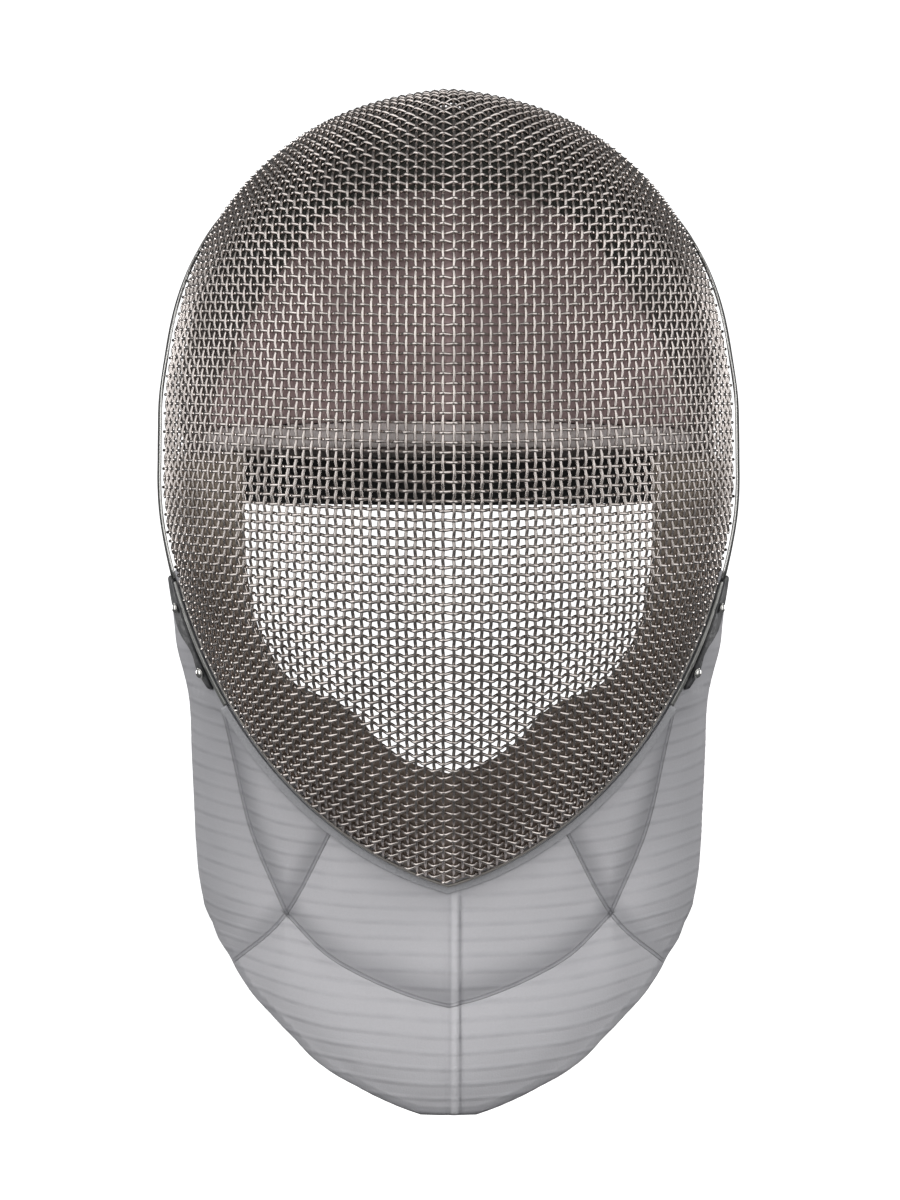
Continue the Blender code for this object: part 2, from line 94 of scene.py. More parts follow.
def smooth(rows, column, where):
    """Cubic through one column of a table whose first column rises, with slopes at its rows."""
    xs = np.array([row[0] for row in rows], float)
    ys = np.array([row[column] for row in rows], float)
    step = np.diff(xs)
    rise = np.diff(ys) / step
    slope = np.empty(len(xs))
    slope[0], slope[-1] = rise[0], rise[-1]
    slope[1:-1] = (rise[:-1] * step[1:] + rise[1:] * step[:-1]) / (step[:-1] + step[1:])
    i = np.clip(np.searchsorted(xs, where, side="right") - 1, 0, len(xs) - 2)
    s = (where - xs[i]) / step[i]
    start = ys[i] * (1 + 2 * s) * (1 - s) ** 2 + slope[i] * step[i] * s * (1 - s) ** 2
    end = ys[i + 1] * s * s * (3 - 2 * s) + slope[i + 1] * step[i] * s * s * (s - 1)
    return start + end


def spread(points):
    """Table of a curve: an even place from 0 to 1, then the numbers of each point."""
    return [(place, *point) for place, point in zip(np.linspace(0, 1, len(points)), points)]


def unit(vectors):
    """Vectors brought to length one."""
    return vectors / np.linalg.norm(vectors, axis=-1, keepdims=True)


def run_along(points):
    """Arc length from the start of a path to each of its points."""
    return np.concatenate([[0], np.cumsum(np.linalg.norm(np.diff(points, axis=0), axis=1))])


def section(angle, inset):
    """Full radius, centre offset, roundness and first turn of the section at an angle."""
    ridge = smooth(SECTIONS, 1, angle) - inset
    offset = smooth(SECTIONS, 2, angle)
    roundness = smooth(SECTIONS, 3, angle)
    start = (offset / (HALF_WIDTH - inset + offset)) ** roundness
    full = ridge / (1 - start) ** (1 / roundness)
    return full, offset, roundness, np.arcsin(np.sqrt(start))


def mask_point(angle, lateral, inset=0.0):
    """Point of the mask's form. Each section turns about the ear axis and is a rounded ellipse,
    across = width * sin^(2/roundness) - offset, radius = full * cos^(2/roundness), with its
    centre offset past the middle plane. It may run on a little past the ear axis."""
    angle, lateral = np.broadcast_arrays(np.asarray(angle, float), np.asarray(lateral, float))
    full, offset, roundness, first = section(angle, inset)
    turn = first + (math.pi / 2 - first) * np.abs(lateral)
    across = (HALF_WIDTH - inset + offset) * np.sin(turn) ** (2 / roundness) - offset
    past = np.sign(np.cos(turn))
    radius = full * past * np.abs(np.cos(turn)) ** (2 / roundness)
    tilt = np.radians(angle)
    x = np.where(lateral < 0, -across, across)
    return np.stack([x, -radius * np.cos(tilt), EAR_HEIGHT + radius * np.sin(tilt)], axis=-1)


def lateral_at_radius(angle, radius):
    """Lateral place on the form at a distance from the ear axis."""
    full, _, roundness, first = section(angle, 0.0)
    turn = np.arccos(np.clip(radius / full, 0, 1) ** (roundness / 2))
    return np.clip((turn - first) / (math.pi / 2 - first), 0, 1)


def lateral_at_x(angle, x, inset):
    """Lateral place on the form at a distance from the middle plane."""
    _, offset, roundness, first = section(angle, inset)
    sine = ((x + offset) / (HALF_WIDTH - inset + offset)) ** (roundness / 2)
    return (np.arcsin(np.clip(sine, 0, 1)) - first) / (math.pi / 2 - first)


def rim_rows():
    """The rim's side view with its two ends on the ridge: place, height, depth."""
    ends = mask_point(np.array([CHIN_ANGLE, CROWN_ANGLE]), 0.0)
    return spread([(ends[0, 2], ends[0, 1]), *RIM_SIDE, (ends[1, 2], ends[1, 1])])


def rim_coords(place):
    """Angle and lateral place of the rim, from the chin at 0 to the crown at 1."""
    height = smooth(rim_rows(), 1, place)
    depth = smooth(rim_rows(), 2, place)
    angle = np.degrees(np.arctan2(height - EAR_HEIGHT, -depth))
    return angle, lateral_at_radius(angle, np.hypot(height - EAR_HEIGHT, depth))


def outward(point_at, rising, sideways_out):
    """Unit outward normals of a surface, by small steps of its upward and sideways values."""
    small = 1e-3
    up = point_at(rising + small, sideways_out) - point_at(rising - small, sideways_out)
    out = point_at(rising, sideways_out + small) - point_at(rising, sideways_out - small)
    return unit(np.cross(out, up))


def wire_surface(coords):
    """Point in the middle of the woven wall, from its angle and lateral place."""
    return mask_point(coords[..., 0], coords[..., 1], WIRE)


def halved(falls_short, low, high, shape):
    """Values between low and high where a test on them stops holding, found by halving."""
    low, high = np.full(shape, float(low)), np.full(shape, float(high))
    for _ in range(40):
        middle = (low + high) / 2
        short = falls_short(middle)
        low, high = np.where(short, middle, low), np.where(short, high, middle)
    return (low + high) / 2


def stepped(coords, first, step):
    """Coordinates at equal steps of arc length along a dense path, from its given index on."""
    run = run_along(wire_surface(coords))
    run = (run - run[first]) * np.sign(step)
    order = np.argsort(run)
    marks = np.arange(0, run.max(), abs(step))
    columns = [np.interp(marks, run[order], coords[order, k]) for k in (0, 1)]
    return np.stack(columns, axis=-1)


def next_crossing(start, left, below):
    """Crossing one pitch from its neighbours on the left and below, by Newton's steps on the
    two distances, for a whole diagonal of the net at once."""
    coords = start
    from_left, from_below = wire_surface(left), wire_surface(below)
    small, longest_step = 1e-4, np.array([3.0, 0.08])
    for _ in range(6):
        point = wire_surface(coords)
        by_angle = (wire_surface(coords + [small, 0]) - point) / small
        by_lateral = (wire_surface(coords + [0, small]) - point) / small
        miss = [((point - fixed) ** 2).sum(-1) - PITCH**2 for fixed in (from_left, from_below)]
        a, b = [2 * ((point - from_left) * way).sum(-1) for way in (by_angle, by_lateral)]
        c, d = [2 * ((point - from_below) * way).sum(-1) for way in (by_angle, by_lateral)]
        turn_back = np.stack([miss[0] * d - b * miss[1], a * miss[1] - c * miss[0]], axis=-1)
        back = turn_back / (a * d - b * c)[:, None]
        coords = coords - np.clip(back, -longest_step, longest_step)
    lost = ~(np.abs(miss[0]) + np.abs(miss[1]) < 1e-2)
    coords[lost] = np.nan
    return coords


def weave_half(upright, across):
    """Net of crossings between a first upright wire and a first cross wire. Its cells keep
    sides of one pitch, so it is filled diagonal by diagonal away from the two."""
    count, rows = len(across), len(upright)
    net = np.full((count, rows, 2), np.nan)
    net[0], net[:, 0] = upright, across
    for diagonal in range(2, count + rows - 1):
        i = np.arange(max(1, diagonal - rows + 1), min(count, diagonal))
        j = diagonal - i
        left, below = net[i - 1, j], net[i, j - 1]
        net[i, j] = next_crossing(left + below - net[i - 1, j - 1], left, below)
    return net


def weave_net():
    """Crossings of the right half, upright by upright: columns outwards, rows upwards."""
    angles = np.linspace(*FORM_ANGLES, ANGLE_STEPS)
    first = np.stack([angles, lateral_at_x(angles, MIDDLE_GAP / 2, WIRE)], axis=-1)
    from_start = np.abs(wire_surface(first)[:, 2] - WEAVE_START_HEIGHT)
    start = from_start[angles < MIDDLE_ANGLES[1]].argmin()
    x = np.linspace(MIDDLE_GAP / 2, HALF_WIDTH - WIRE - SIDE_MARGIN, SIDE_STEPS)
    height = WEAVE_START_HEIGHT + WEAVE_RISE * (x - x[0]) + WEAVE_BEND * (x - x[0]) ** 2

    def row_at(angle):
        return np.stack([angle, lateral_at_x(angle, x, WIRE)], axis=-1)

    def below(angle):
        return wire_surface(row_at(angle))[:, 2] < height

    row = row_at(halved(below, *MIDDLE_ANGLES, x.shape))
    across = stepped(row, 0, PITCH)
    upper = weave_half(stepped(first, start, PITCH), across)
    lower = weave_half(stepped(first, start, -PITCH), across)
    return np.concatenate([lower[:, :0:-1], upper], axis=1)


def over_rim(coords):
    """How far a place lies past the rim, in lateral units: negative on the mask."""
    angle, lateral = rim_coords(np.linspace(0, 1, 801))
    return coords[..., 1] - np.interp(coords[..., 0], angle, lateral, left=-1, right=-1)


def tube(centres, normals, radius, sides):
    """Closed tube round a path: rings of points at equal turns about each centre."""
    along = np.gradient(centres, axis=0)
    across = unit(np.cross(along, normals))
    out = unit(np.cross(across, along))
    turn = np.arange(sides) * math.tau / sides
    ring = out[:, None] * np.cos(turn)[:, None] + across[:, None] * np.sin(turn)[:, None]
    return centres[:, None] + ring * radius


def woven_wire(points, normals, over, crimp, bends):
    """Tube along a cosine wave over one crossing and under the next, read at some bends beside
    each crossing. points has a row for each crossing and the two ends."""
    inner, out = points[1:-1], normals[1:-1]
    waves = []
    for bend in bends:
        beside = points[:-2] if bend < 0 else points[2:]
        lift = crimp * math.cos(math.pi * bend)
        waves.append(inner + (beside - inner) * abs(bend) + out * over[:, None] * lift)
    body = np.stack(waves, axis=1).reshape(-1, 3)
    body = np.concatenate([points[:1], body, points[-1:]])
    facing = np.concatenate([normals[:1], np.repeat(out, len(bends), axis=0), normals[-1:]])
    return tube(body, facing, WIRE_RADIUS, WIRE_SIDES)


def smooth_mesh(verts, faces):
    """Mesh of points in millimetres, shaded smooth."""
    mesh = bpy.data.meshes.new("piece")
    mesh.from_pydata((verts * MM).tolist(), [], faces)
    mesh.shade_smooth()
    return mesh


def joined_tubes(tubes):
    """One mesh of many closed tubes, each given as rings of points in millimetres."""
    verts, faces, base = [], [], 0
    for rings in tubes:
        count, sides = rings.shape[:2]
        index = base + np.arange(count * sides).reshape(count, sides)
        right = np.roll(index, -1, axis=1)
        quads = np.stack([index[:-1], right[:-1], right[1:], index[1:]], axis=-1)
        faces += quads.reshape(-1, 4).tolist()
        faces += [index[0, ::-1].tolist(), index[-1].tolist()]
        verts.append(rings.reshape(-1, 3))
        base += count * sides
    return smooth_mesh(np.concatenate(verts), faces)


def in_scene(name, data):
    """Object of a mesh, light or camera, linked into the scene."""
    obj = bpy.data.objects.new(name, data)
    bpy.context.scene.collection.objects.link(obj)
    return obj


def placed(name, mesh, material, slot, *nodes):
    """Put a finished mesh in the scene as a piece that stands for the given solids."""
    mesh.name = name
    mesh.materials.append(material)
    obj = in_scene(name, mesh)
    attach(obj, "root")
    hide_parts(*nodes)
    return obj


class Link:
    """An output of a finish's nodes. Sums and products with it add Math nodes."""

    def __init__(self, finish, socket):
        self.finish, self.socket = finish, socket

    def _math(self, operation, first, second):
        return self.finish.node("ShaderNodeMath", {"operation": operation}, {0: first, 1: second})

    def __add__(self, other):
        return self._math("ADD", self, other)

    def __sub__(self, other):
        return self._math("SUBTRACT", self, other)

    def __mul__(self, other):
        return self._math("MULTIPLY", self, other)

    def __pow__(self, other):
        return self._math("POWER", self, other)

    __radd__, __rmul__ = __add__, __mul__


class Finish:
    """A material in the making: a node tree with one Principled shader."""

    def __init__(self, name):
        self.material = bpy.data.materials.new(name)
        self.material.use_nodes = True
        self.tree = self.material.node_tree
        self.shader = self.tree.nodes["Principled BSDF"]
        self.where = self.node("ShaderNodeTexCoord", output="Object")

    def node(self, kind, settings=None, inputs=None, output=0):
        """Add a node, set it up, join or fill its inputs and hand back one of its outputs."""
        node = self.tree.nodes.new(kind)
        for name, value in (settings or {}).items():
            setattr(node, name, value)
        self.fill(node, inputs or {})
        return Link(self, node.outputs[output])

    def fill(self, node, inputs):
        """Join links to a node's inputs and set its plain values."""
        for name, value in inputs.items():
            socket = node.inputs[name]
            if isinstance(value, Link):
                self.tree.links.new(value.socket, socket)
            elif isinstance(value, tuple) and len(value) == 3 and socket.type == "RGBA":
                socket.default_value = (*value, 1.0)
            else:
                socket.default_value = value

    def noise(self, scale, detail=3.0):
        """Soft noise from 0 to 1 at a scale in lumps for each metre."""
        inputs = {"Vector": self.where, "Scale": scale, "Detail": detail}
        return self.node("ShaderNodeTexNoise", {}, inputs)

    def part(self, vector, index):
        """One of the three numbers of a vector."""
        return self.node("ShaderNodeSeparateXYZ", {}, {0: vector}, index)

    def between(self, mask, low, high):
        """Colour that goes from low to high with a mask from 0 to 1."""
        settings = {"data_type": "RGBA", "clamp_factor": True}
        return self.node("ShaderNodeMix", settings, {0: mask, 6: low, 7: high}, 2)

    def stretched(self, value, low, high, way="LINEAR"):
        """Value stretched so that low becomes 0 and high becomes 1, and kept in that range."""
        inputs = {"Value": value, "From Min": low, "From Max": high}
        return self.node("ShaderNodeMapRange", {"interpolation_type": way}, inputs)

    def softly(self, value, low, high):
        """Value that eases from 0 at low to 1 at high."""
        return self.stretched(value, low, high, "SMOOTHSTEP")

    def bump(self, height, distance):
        """Normal that follows a height, where a height of 1 stands a distance in metres."""
        return self.node("ShaderNodeBump", {}, {"Height": height, "Distance": distance})

    def done(self, **inputs):
        """Fill the shader's own inputs, underscores for spaces, and give the material."""
        self.fill(self.shader, {name.replace("_", " "): value for name, value in inputs.items()})
        return self.material


def wire_finish():
    """Drawn steel wire: bright and slightly warm, with rubbed lengths and a dull bloom."""
    steel = Finish("drawn_wire")
    bloom = steel.stretched(steel.noise(45.0), 0.42, 0.66)
    drawn = steel.noise(900.0, 1.0)
    colour = steel.between(bloom, (0.61, 0.56, 0.53), (0.46, 0.42, 0.395))
    return steel.done(Base_Color=colour, Metallic=1.0,
                      Roughness=0.16 + bloom * 0.10 + drawn * 0.08)


net = weave_net()
net_past = over_rim(net)
parity = 1.0 - 2.0 * (np.indices(net.shape[:2]).sum(0) % 2)
MIRROR = np.array((-1.0, 1.0, 1.0))


def wire_run(line, past, over):
    """Points, normals and over-or-under signs of one wire of the right half. Its two ends are
    cut at the rim where it runs on past it."""
    first, last = np.flatnonzero(past < 0)[[0, -1]]
    kept = slice(first, last + 1)
    coords = np.concatenate([line[[first]], line[kept], line[[last]]])
    for end, inner, outer in ((0, first, first - 1), (-1, last, last + 1)):
        if 0 <= outer < len(line) and np.isfinite(past[outer]):
            share = past[inner] / (past[inner] - past[outer])
            coords[end] += (line[outer] - line[inner]) * share
    normals = outward(lambda a, b: mask_point(a, b, WIRE), coords[:, 0], coords[:, 1])
    return wire_surface(coords), normals, over[kept]


uprights = {"left": [], "right": []}
for column in range(net.shape[0]):
    if np.nanmin(net_past[column]) < 0:
        points, normals, over = wire_run(net[column], net_past[column], parity[column])
        uprights["left"].append(woven_wire(points, normals, over, UPRIGHT_CRIMP, UPRIGHT_BENDS))
        points, normals, over = points[::-1] * MIRROR, normals[::-1] * MIRROR, -over[::-1]
        uprights["right"].append(woven_wire(points, normals, over, UPRIGHT_CRIMP, UPRIGHT_BENDS))

crosses = {"lower": [], "upper": []}
for row in range(net.shape[1]):
    if net_past[0, row] < 0:
        points, normals, over = wire_run(net[:, row], net_past[:, row], -parity[:, row])
        # The run starts at the first upright, so its doubled first point is dropped.
        points = np.concatenate([points[:0:-1] * MIRROR, points[1:]])
        normals = np.concatenate([normals[:0:-1] * MIRROR, normals[1:]])
        over = np.concatenate([-over[::-1], over])
        half = "upper" if wire_surface(net[0, row])[2] > WEAVE_START_HEIGHT else "lower"
        crosses[half].append(woven_wire(points, normals, over, CROSS_CRIMP, CROSS_BENDS))

drawn_wire = wire_finish()
for word, tubes in (*uprights.items(), *crosses.items()):
    kind = "upright_wires_" if word in uprights else "cross_wires_"
    placed(kind + word, joined_tubes(tubes), drawn_wire, "steel_mesh", "wire_mesh")


# ---- Rim ------------------------------------------------------------------------------------
# A smooth steel band lies on the woven face along its rim, over the crown from tab to tab. A
# dark cord edges it, and below the tabs a thin dull wire closes the cut edge round the chin.

RIM_TAB_HEIGHT = -150.0
TAB_STRIP_TOP, TAB_STRIP_BOTTOM = -151.0, -193.0
BAND_WIDTH, BAND_THICK, BAND_GAP = 2.6, 0.6, 0.6
EDGING_RADIUS = 0.7
EDGE_WIRE_RADIUS, EDGE_WIRE_GAP = 0.55, 0.4
GAP = 0.35
SMALL_ROUNDING = 0.35


def rim_place(height):
    """Place along the rim that is at a height."""
    return halved(lambda place: smooth(rim_rows(), 1, place) < height, 0, 1, np.shape(height))


def across_middle(half):
    """Path or normals of one side, from the middle out, joined to their mirror image."""
    return np.concatenate([half[:0:-1] * MIRROR, half])


def rim_path(middle_place, end_height, count, inset=0.0):
    """Rim points and outward normals from side to side, through the chin or the crown."""
    place = np.linspace(middle_place, float(rim_place(end_height)), count)
    angle, lateral = rim_coords(place)
    lateral[0] = 0.0
    points = mask_point(angle, lateral, inset)
    normals = outward(mask_point, angle, lateral)
    normals[0, 0] = 0.0
    return across_middle(points), across_middle(normals)


def sideways(points, normals):
    """Unit directions across a path, in the surface whose normals are given."""
    return unit(np.cross(normals, np.gradient(points, axis=0)))


def ribbon(points, normals, profile, width=1.0):
    """Rings of a profile of (across, out) pairs carried along a path on a surface, its across
    sizes times a width, which may differ from point to point."""
    across = sideways(points, normals) * width
    return np.stack([points + across * b + normals * n for b, n in profile], axis=1)


def rounded_profile(low, high, inner, outer, radius, steps=4):
    """Flat strip with round corners: quarter circles of the radius at its four corners."""
    corners = ((high, outer, 0), (low, outer, 1), (low, inner, 2), (high, inner, 3))
    profile = []
    for across, out, quarter in corners:
        centre = (across - math.copysign(radius, across - (low + high) / 2),
                  out - math.copysign(radius, out - (inner + outer) / 2))
        for step in range(steps + 1):
            turn = math.pi / 2 * (quarter + step / steps)
            profile.append((centre[0] + radius * math.cos(turn),
                            centre[1] + radius * math.sin(turn)))
    return profile


def closed_rings(rings):
    """Mesh of one closed tube of rings in millimetres, its faces turned outwards."""
    start = rings[1:, 0]
    facing = np.cross(start - rings[1:, 1], start - rings[:-1, 0])
    outwards = (facing * (start - rings[1:].mean(axis=1))).sum() > 0
    return joined_tubes([rings if outwards else rings[:, ::-1]])


def dulled_steel(name, bright, dull, scale, roughness, spread, metallic=1.0):
    """Steel that goes from bright and smooth to dull and rougher by soft noise of a scale. The
    spread is what the dullest places add to its roughness."""
    steel = Finish(name)
    dulled = steel.noise(scale)
    return steel.done(Base_Color=steel.between(dulled, bright, dull), Metallic=metallic,
                      Roughness=roughness + dulled * spread)


def threaded_finish(name, dark, faded, patch_scale, threads, roughness, spread, depth):
    """Covering of fine threads, given as a noise scale and detail, faded in soft patches. The
    threads add a spread to its roughness and stand out by a depth in metres."""
    cover = Finish(name)
    grain = cover.noise(*threads)
    colour = cover.between(cover.noise(patch_scale), dark, faded)
    return cover.done(Base_Color=colour, Roughness=roughness + grain * spread,
                      Normal=cover.bump(grain, depth))


points, normals = rim_path(1.0, RIM_TAB_HEIGHT, 90)
band = rounded_profile(-BAND_WIDTH, 0.0, BAND_GAP, BAND_GAP + BAND_THICK, SMALL_ROUNDING)
polished_band = dulled_steel("rim_band_steel", (0.78, 0.77, 0.75), (0.60, 0.60, 0.58), 60.0,
                             0.16, 0.22)
placed("rim_band_strip", closed_rings(ribbon(points, normals, band)), polished_band,
       "rim_steel", "rim_band")

away = sideways(points, normals) * (EDGING_RADIUS + GAP)
cord_path = points + away + normals * (BAND_GAP + BAND_THICK / 2)
covered_cord = threaded_finish("rim_edging_cord", (0.020, 0.020, 0.019), (0.055, 0.054, 0.050),
                               35.0, (1400.0, 3.0), 0.45, 0.25, 0.0002)
placed("rim_edging_cord", joined_tubes([tube(cord_path, normals, EDGING_RADIUS, 12)]), covered_cord,
       "edging", "rim_edging")

points, normals = rim_path(0.0, TAB_STRIP_TOP, 90, WIRE)
away = sideways(points, normals) * (EDGE_WIRE_RADIUS + EDGE_WIRE_GAP)
edge_steel = dulled_steel("chin_edge_wire", (0.42, 0.40, 0.37), (0.26, 0.24, 0.22), 120.0,
                          0.35, 0.3, 0.8)
placed("chin_edge_wire", joined_tubes([tube(points - away, normals, EDGE_WIRE_RADIUS, 10)]),
       edge_steel, "dark_wire", "chin_rim_wire")


# ---- Padding --------------------------------------------------------------------------------
# A foam forehead pad in a thin mauve grey cover sits behind the upper mesh, with a pale piped
# welt along its lower edge. A dark olive lining covers it up to the crown, and a dark U-shaped
# lining goes round the face opening, over cheeks and chin.

PAD_BOTTOM = -99.5
PAD_ARCH = ((0, -21), (32, -24), (48, -34), (57, -46), (68, -62), (77, -81), (84, -96))
PAD_INSET, PAD_THICK = 3.2, 5.0
WELT_HEIGHT, WELT_HALF_SPAN = -104.0, 86.0
WELT_TALL, WELT_THICK = 8.0, 4.6
WELT_STEPS, WELT_SIDES = 161, 16
# Gathers along the welt: share of its size, turn from step to step.
WELT_GATHER, WELT_GATHER_TURN = 0.05, 1.3
LINING_INSET, LINING_EDGE_INSET, LINING_THICK = 3.3, 2.7, 3.0
# The crown lining passes behind the pad and comes up close to the mesh beyond its sides.
CROWN_INSET, CROWN_EDGE_INSET, CROWN_THICK = 9.6, 6.7, 2.4
CROWN_TURN = (0.72, 0.92)
CROWN_FRONT_ANGLE, CROWN_TEMPLE_HEIGHT = 0.5, -112.0
# Its edge lies closer still above this share of its height, and tucks in below it.
CROWN_CLOSE_INSET, CROWN_TUCK = 4.4, 0.1
# It ends at this place along the rim and at this share of the width. It rises to the mesh
# between two angles above the forehead, and lies in slack folds, a share of its thickness.
CROWN_END, CROWN_SIDE = 0.985, 0.97
CROWN_RISE_ANGLES = (66.0, 80.0)
CROWN_FOLD_LENGTH, CROWN_SLACK = 46.0, 0.25
# The face lining runs on past the cut edge of the mesh by this share of its own width.
LINING_REACH = 1.12
# Inner edge of the face lining, seen from the front: half-width, height, from chin to temple.
WINDOW_EDGE = (
    (0, -219.5), (12, -216.5), (20, -211.5), (26, -206.5), (31, -200.5), (37, -196), (44, -193.5),
    (52, -190.5), (58, -185), (63, -177.5), (67, -168), (69.5, -155), (70.5, -140), (70.5, -125),
    (70.5, -110),
)


def front_coords(x, height):
    """Angle and lateral place of the form seen from the front at x and height."""
    x, height = np.broadcast_arrays(np.asarray(x, float), np.asarray(height, float))

    def lateral_at(angle):
        return np.clip(lateral_at_x(angle, np.abs(x), 0.0), 0, 1)

    angle = halved(lambda angle: mask_point(angle, lateral_at(angle))[..., 2] < height,
                   -88, 88, x.shape)
    return angle, np.sign(x) * lateral_at(angle)


def ramp(value, low, high):
    """Share that rises evenly from 0 where a value is low to 1 where it is high."""
    return np.clip((value - low) / (high - low), 0, 1)


def blend(start, end, share):
    """Pairs of coordinates on the way from one pair to another."""
    return tuple(a + (b - a) * share for a, b in zip(start, end))


def edge_rounding(shape, across, along):
    """Thickness share of a padded sheet, 0 at its border and 1 inside: a quarter circle over
    so many cells from the border across its columns and along its rows."""
    rows = np.minimum(np.arange(shape[0]), np.arange(shape[0])[::-1]) / along
    columns = np.minimum(np.arange(shape[1]), np.arange(shape[1])[::-1]) / across
    near = np.clip(np.minimum(rows[:, None], columns[None, :]), 0, 1)
    return np.sqrt(1 - (1 - near) ** 2)


def padded_sheet(front, back, across=2, along=2):
    """Closed mesh between two grids that meet at their borders: each point goes from the
    middle of the two by a share of half the distance between them."""
    rows, columns = front.shape[:2]
    share = edge_rounding((rows, columns), across, along)[..., None]
    middle, half = (front + back) / 2, (front - back) / 2 * share
    index = np.arange(rows * columns).reshape(rows, columns)
    border = np.ones((rows, columns), bool)
    border[1:-1, 1:-1] = False
    under = np.where(border, index, -1)
    under[1:-1, 1:-1] = rows * columns + np.arange((rows - 2) * (columns - 2)).reshape(rows - 2, -1)
    faces = []
    for grid, flip in ((index, False), (under, True)):
        corners = [grid[:-1, :-1], grid[:-1, 1:], grid[1:, 1:], grid[1:, :-1]]
        quads = np.stack(corners[::-1] if flip else corners, axis=-1)
        faces.append(quads.reshape(-1, 4))
    over, below = (middle + half), (middle - half)[1:-1, 1:-1]
    return smooth_mesh(np.concatenate([over.reshape(-1, 3), below.reshape(-1, 3)]),
                       np.concatenate(faces).tolist())


def ripples(x, y, size):
    """Soft unevenness between -1 and 1: a sum of five waves of about a given length, each with
    a way and a start of its own."""
    total = 0.0
    for k in range(5):
        way, length = 2.4 * k + 0.7, size * (0.7 + 0.23 * k)
        run = x * math.cos(way) + y * math.sin(way)
        total = total + np.sin(math.tau * run / length + 1.9 * k)
    return total / 5


def cloth_finish(name, colour, worn, weave_scale, roughness=0.85, depth=0.0002, low=None):
    """Matt cloth: two tones by soft noise, and a fine over-and-under grain as bump. low gives a
    third tone by height, painted light and shade, and the heights in metres where it starts to show
    and where it is full."""
    cloth = Finish(name)
    patches = cloth.stretched(cloth.noise(28.0), 0.35, 0.68)
    grain = cloth.noise(weave_scale, 2.0)
    tone = cloth.between(patches, colour, worn)
    # The tone by height is painted light and shade: it stands for how the light falls, not for the
    # cloth's own colour.
    if low:
        height = cloth.part(cloth.where, 2)
        tone = cloth.between(cloth.softly(height, *low[1:]), tone, low[0])
    shade = cloth.between(grain, tone, tuple(c * 0.6 for c in colour))
    return cloth.done(Base_Color=shade, Roughness=roughness, Sheen_Weight=0.15,
                      Normal=cloth.bump(grain, depth))


def on_form(angle, lateral, inset, thickness):
    """Front and back of a sheet that lies inside the form at an inset, with a thickness."""
    return mask_point(angle, lateral, inset), mask_point(angle, lateral, inset + thickness)


side = np.linspace(-1, 1, 91)[None, :]
rise = np.linspace(0, 1, 45)[:, None]
x = side * PAD_ARCH[-1][0]
top = smooth(PAD_ARCH, 1, np.abs(x))
angle, lateral = front_coords(x, PAD_BOTTOM + (top - PAD_BOTTOM) * rise)
front, back = on_form(angle, lateral, PAD_INSET, PAD_THICK)
# Painted shade: the pad's cover goes to a deep tone towards its top.
pad_cover = cloth_finish("pad_cover", (0.62, 0.455, 0.455), (0.53, 0.39, 0.39), 1500.0,
                         low=((0.12, 0.088, 0.085), -0.068, -0.017))
pad = placed("forehead_pad_cushion", padded_sheet(front, back, 5, 4), pad_cover,
             "pad_cloth", "forehead_pad")

place = np.linspace(-1, 1, WELT_STEPS)
angle, lateral = front_coords(place * WELT_HALF_SPAN, WELT_HEIGHT)
points = mask_point(angle, lateral, PAD_INSET + PAD_THICK / 2)
normals = outward(mask_point, angle, lateral)
turns = np.arange(WELT_SIDES) * math.tau / WELT_SIDES
gathers = np.sin(np.arange(WELT_STEPS) * WELT_GATHER_TURN)[:, None] * np.cos(turns) * WELT_GATHER
# The roll keeps its size nearly to its ends, and closes in there.
size = (1 + gathers) * np.sqrt(np.clip(1 - np.abs(place) ** 24, 0.02, 1))[:, None]
tall, thick = WELT_TALL / 2 * np.cos(turns) * size, WELT_THICK / 2 * np.sin(turns) * size
welt = (points[:, None] + sideways(points, normals)[:, None] * tall[..., None]
        + normals[:, None] * thick[..., None])
welt_cover = cloth_finish("welt_cover", (0.98, 0.91, 0.90), (0.94, 0.86, 0.85), 1200.0)
welt = placed("pad_welt_roll", closed_rings(welt), welt_cover, "welt_cloth", "pad_welt")

reach = np.linspace(0, 1, 61)[:, None]
share = np.linspace(-1, 1, 101)[None, :]
first = float(rim_place(CROWN_TEMPLE_HEIGHT))
rim = rim_coords(first + (CROWN_END - first) * reach)
ridge_angle = CROWN_FRONT_ANGLE + (CROWN_ANGLE - 2 - CROWN_FRONT_ANGLE) * reach
angle, lateral = blend((ridge_angle, 0.0), rim, CROWN_SIDE * np.abs(share))
turned = ramp(np.abs(share), *CROWN_TURN)
edge = CROWN_CLOSE_INSET + (CROWN_EDGE_INSET - CROWN_CLOSE_INSET) * ramp(reach, CROWN_TUCK, 0)
inset = CROWN_INSET + (edge - CROWN_INSET) * turned * turned * (3 - 2 * turned)
inset = inset + (CROWN_CLOSE_INSET - inset) * ramp(angle, *CROWN_RISE_ANGLES)
front, back = on_form(angle, lateral * np.sign(share), inset, CROWN_THICK)
folds = ripples(front[..., 0], front[..., 2], CROWN_FOLD_LENGTH)[..., None]
slack = folds * (back - front) * CROWN_SLACK
# Painted light: the dark crown lining is drawn lighter towards the temples.
crown_cover = cloth_finish("crown_cover", (0.040, 0.042, 0.034), (0.028, 0.030, 0.025), 1300.0,
                           low=((0.23, 0.185, 0.175), -0.030, -0.085))
crown = placed("crown_lining_cloth", padded_sheet(front + slack, back + slack), crown_cover,
               "crown_cloth", "crown_lining")

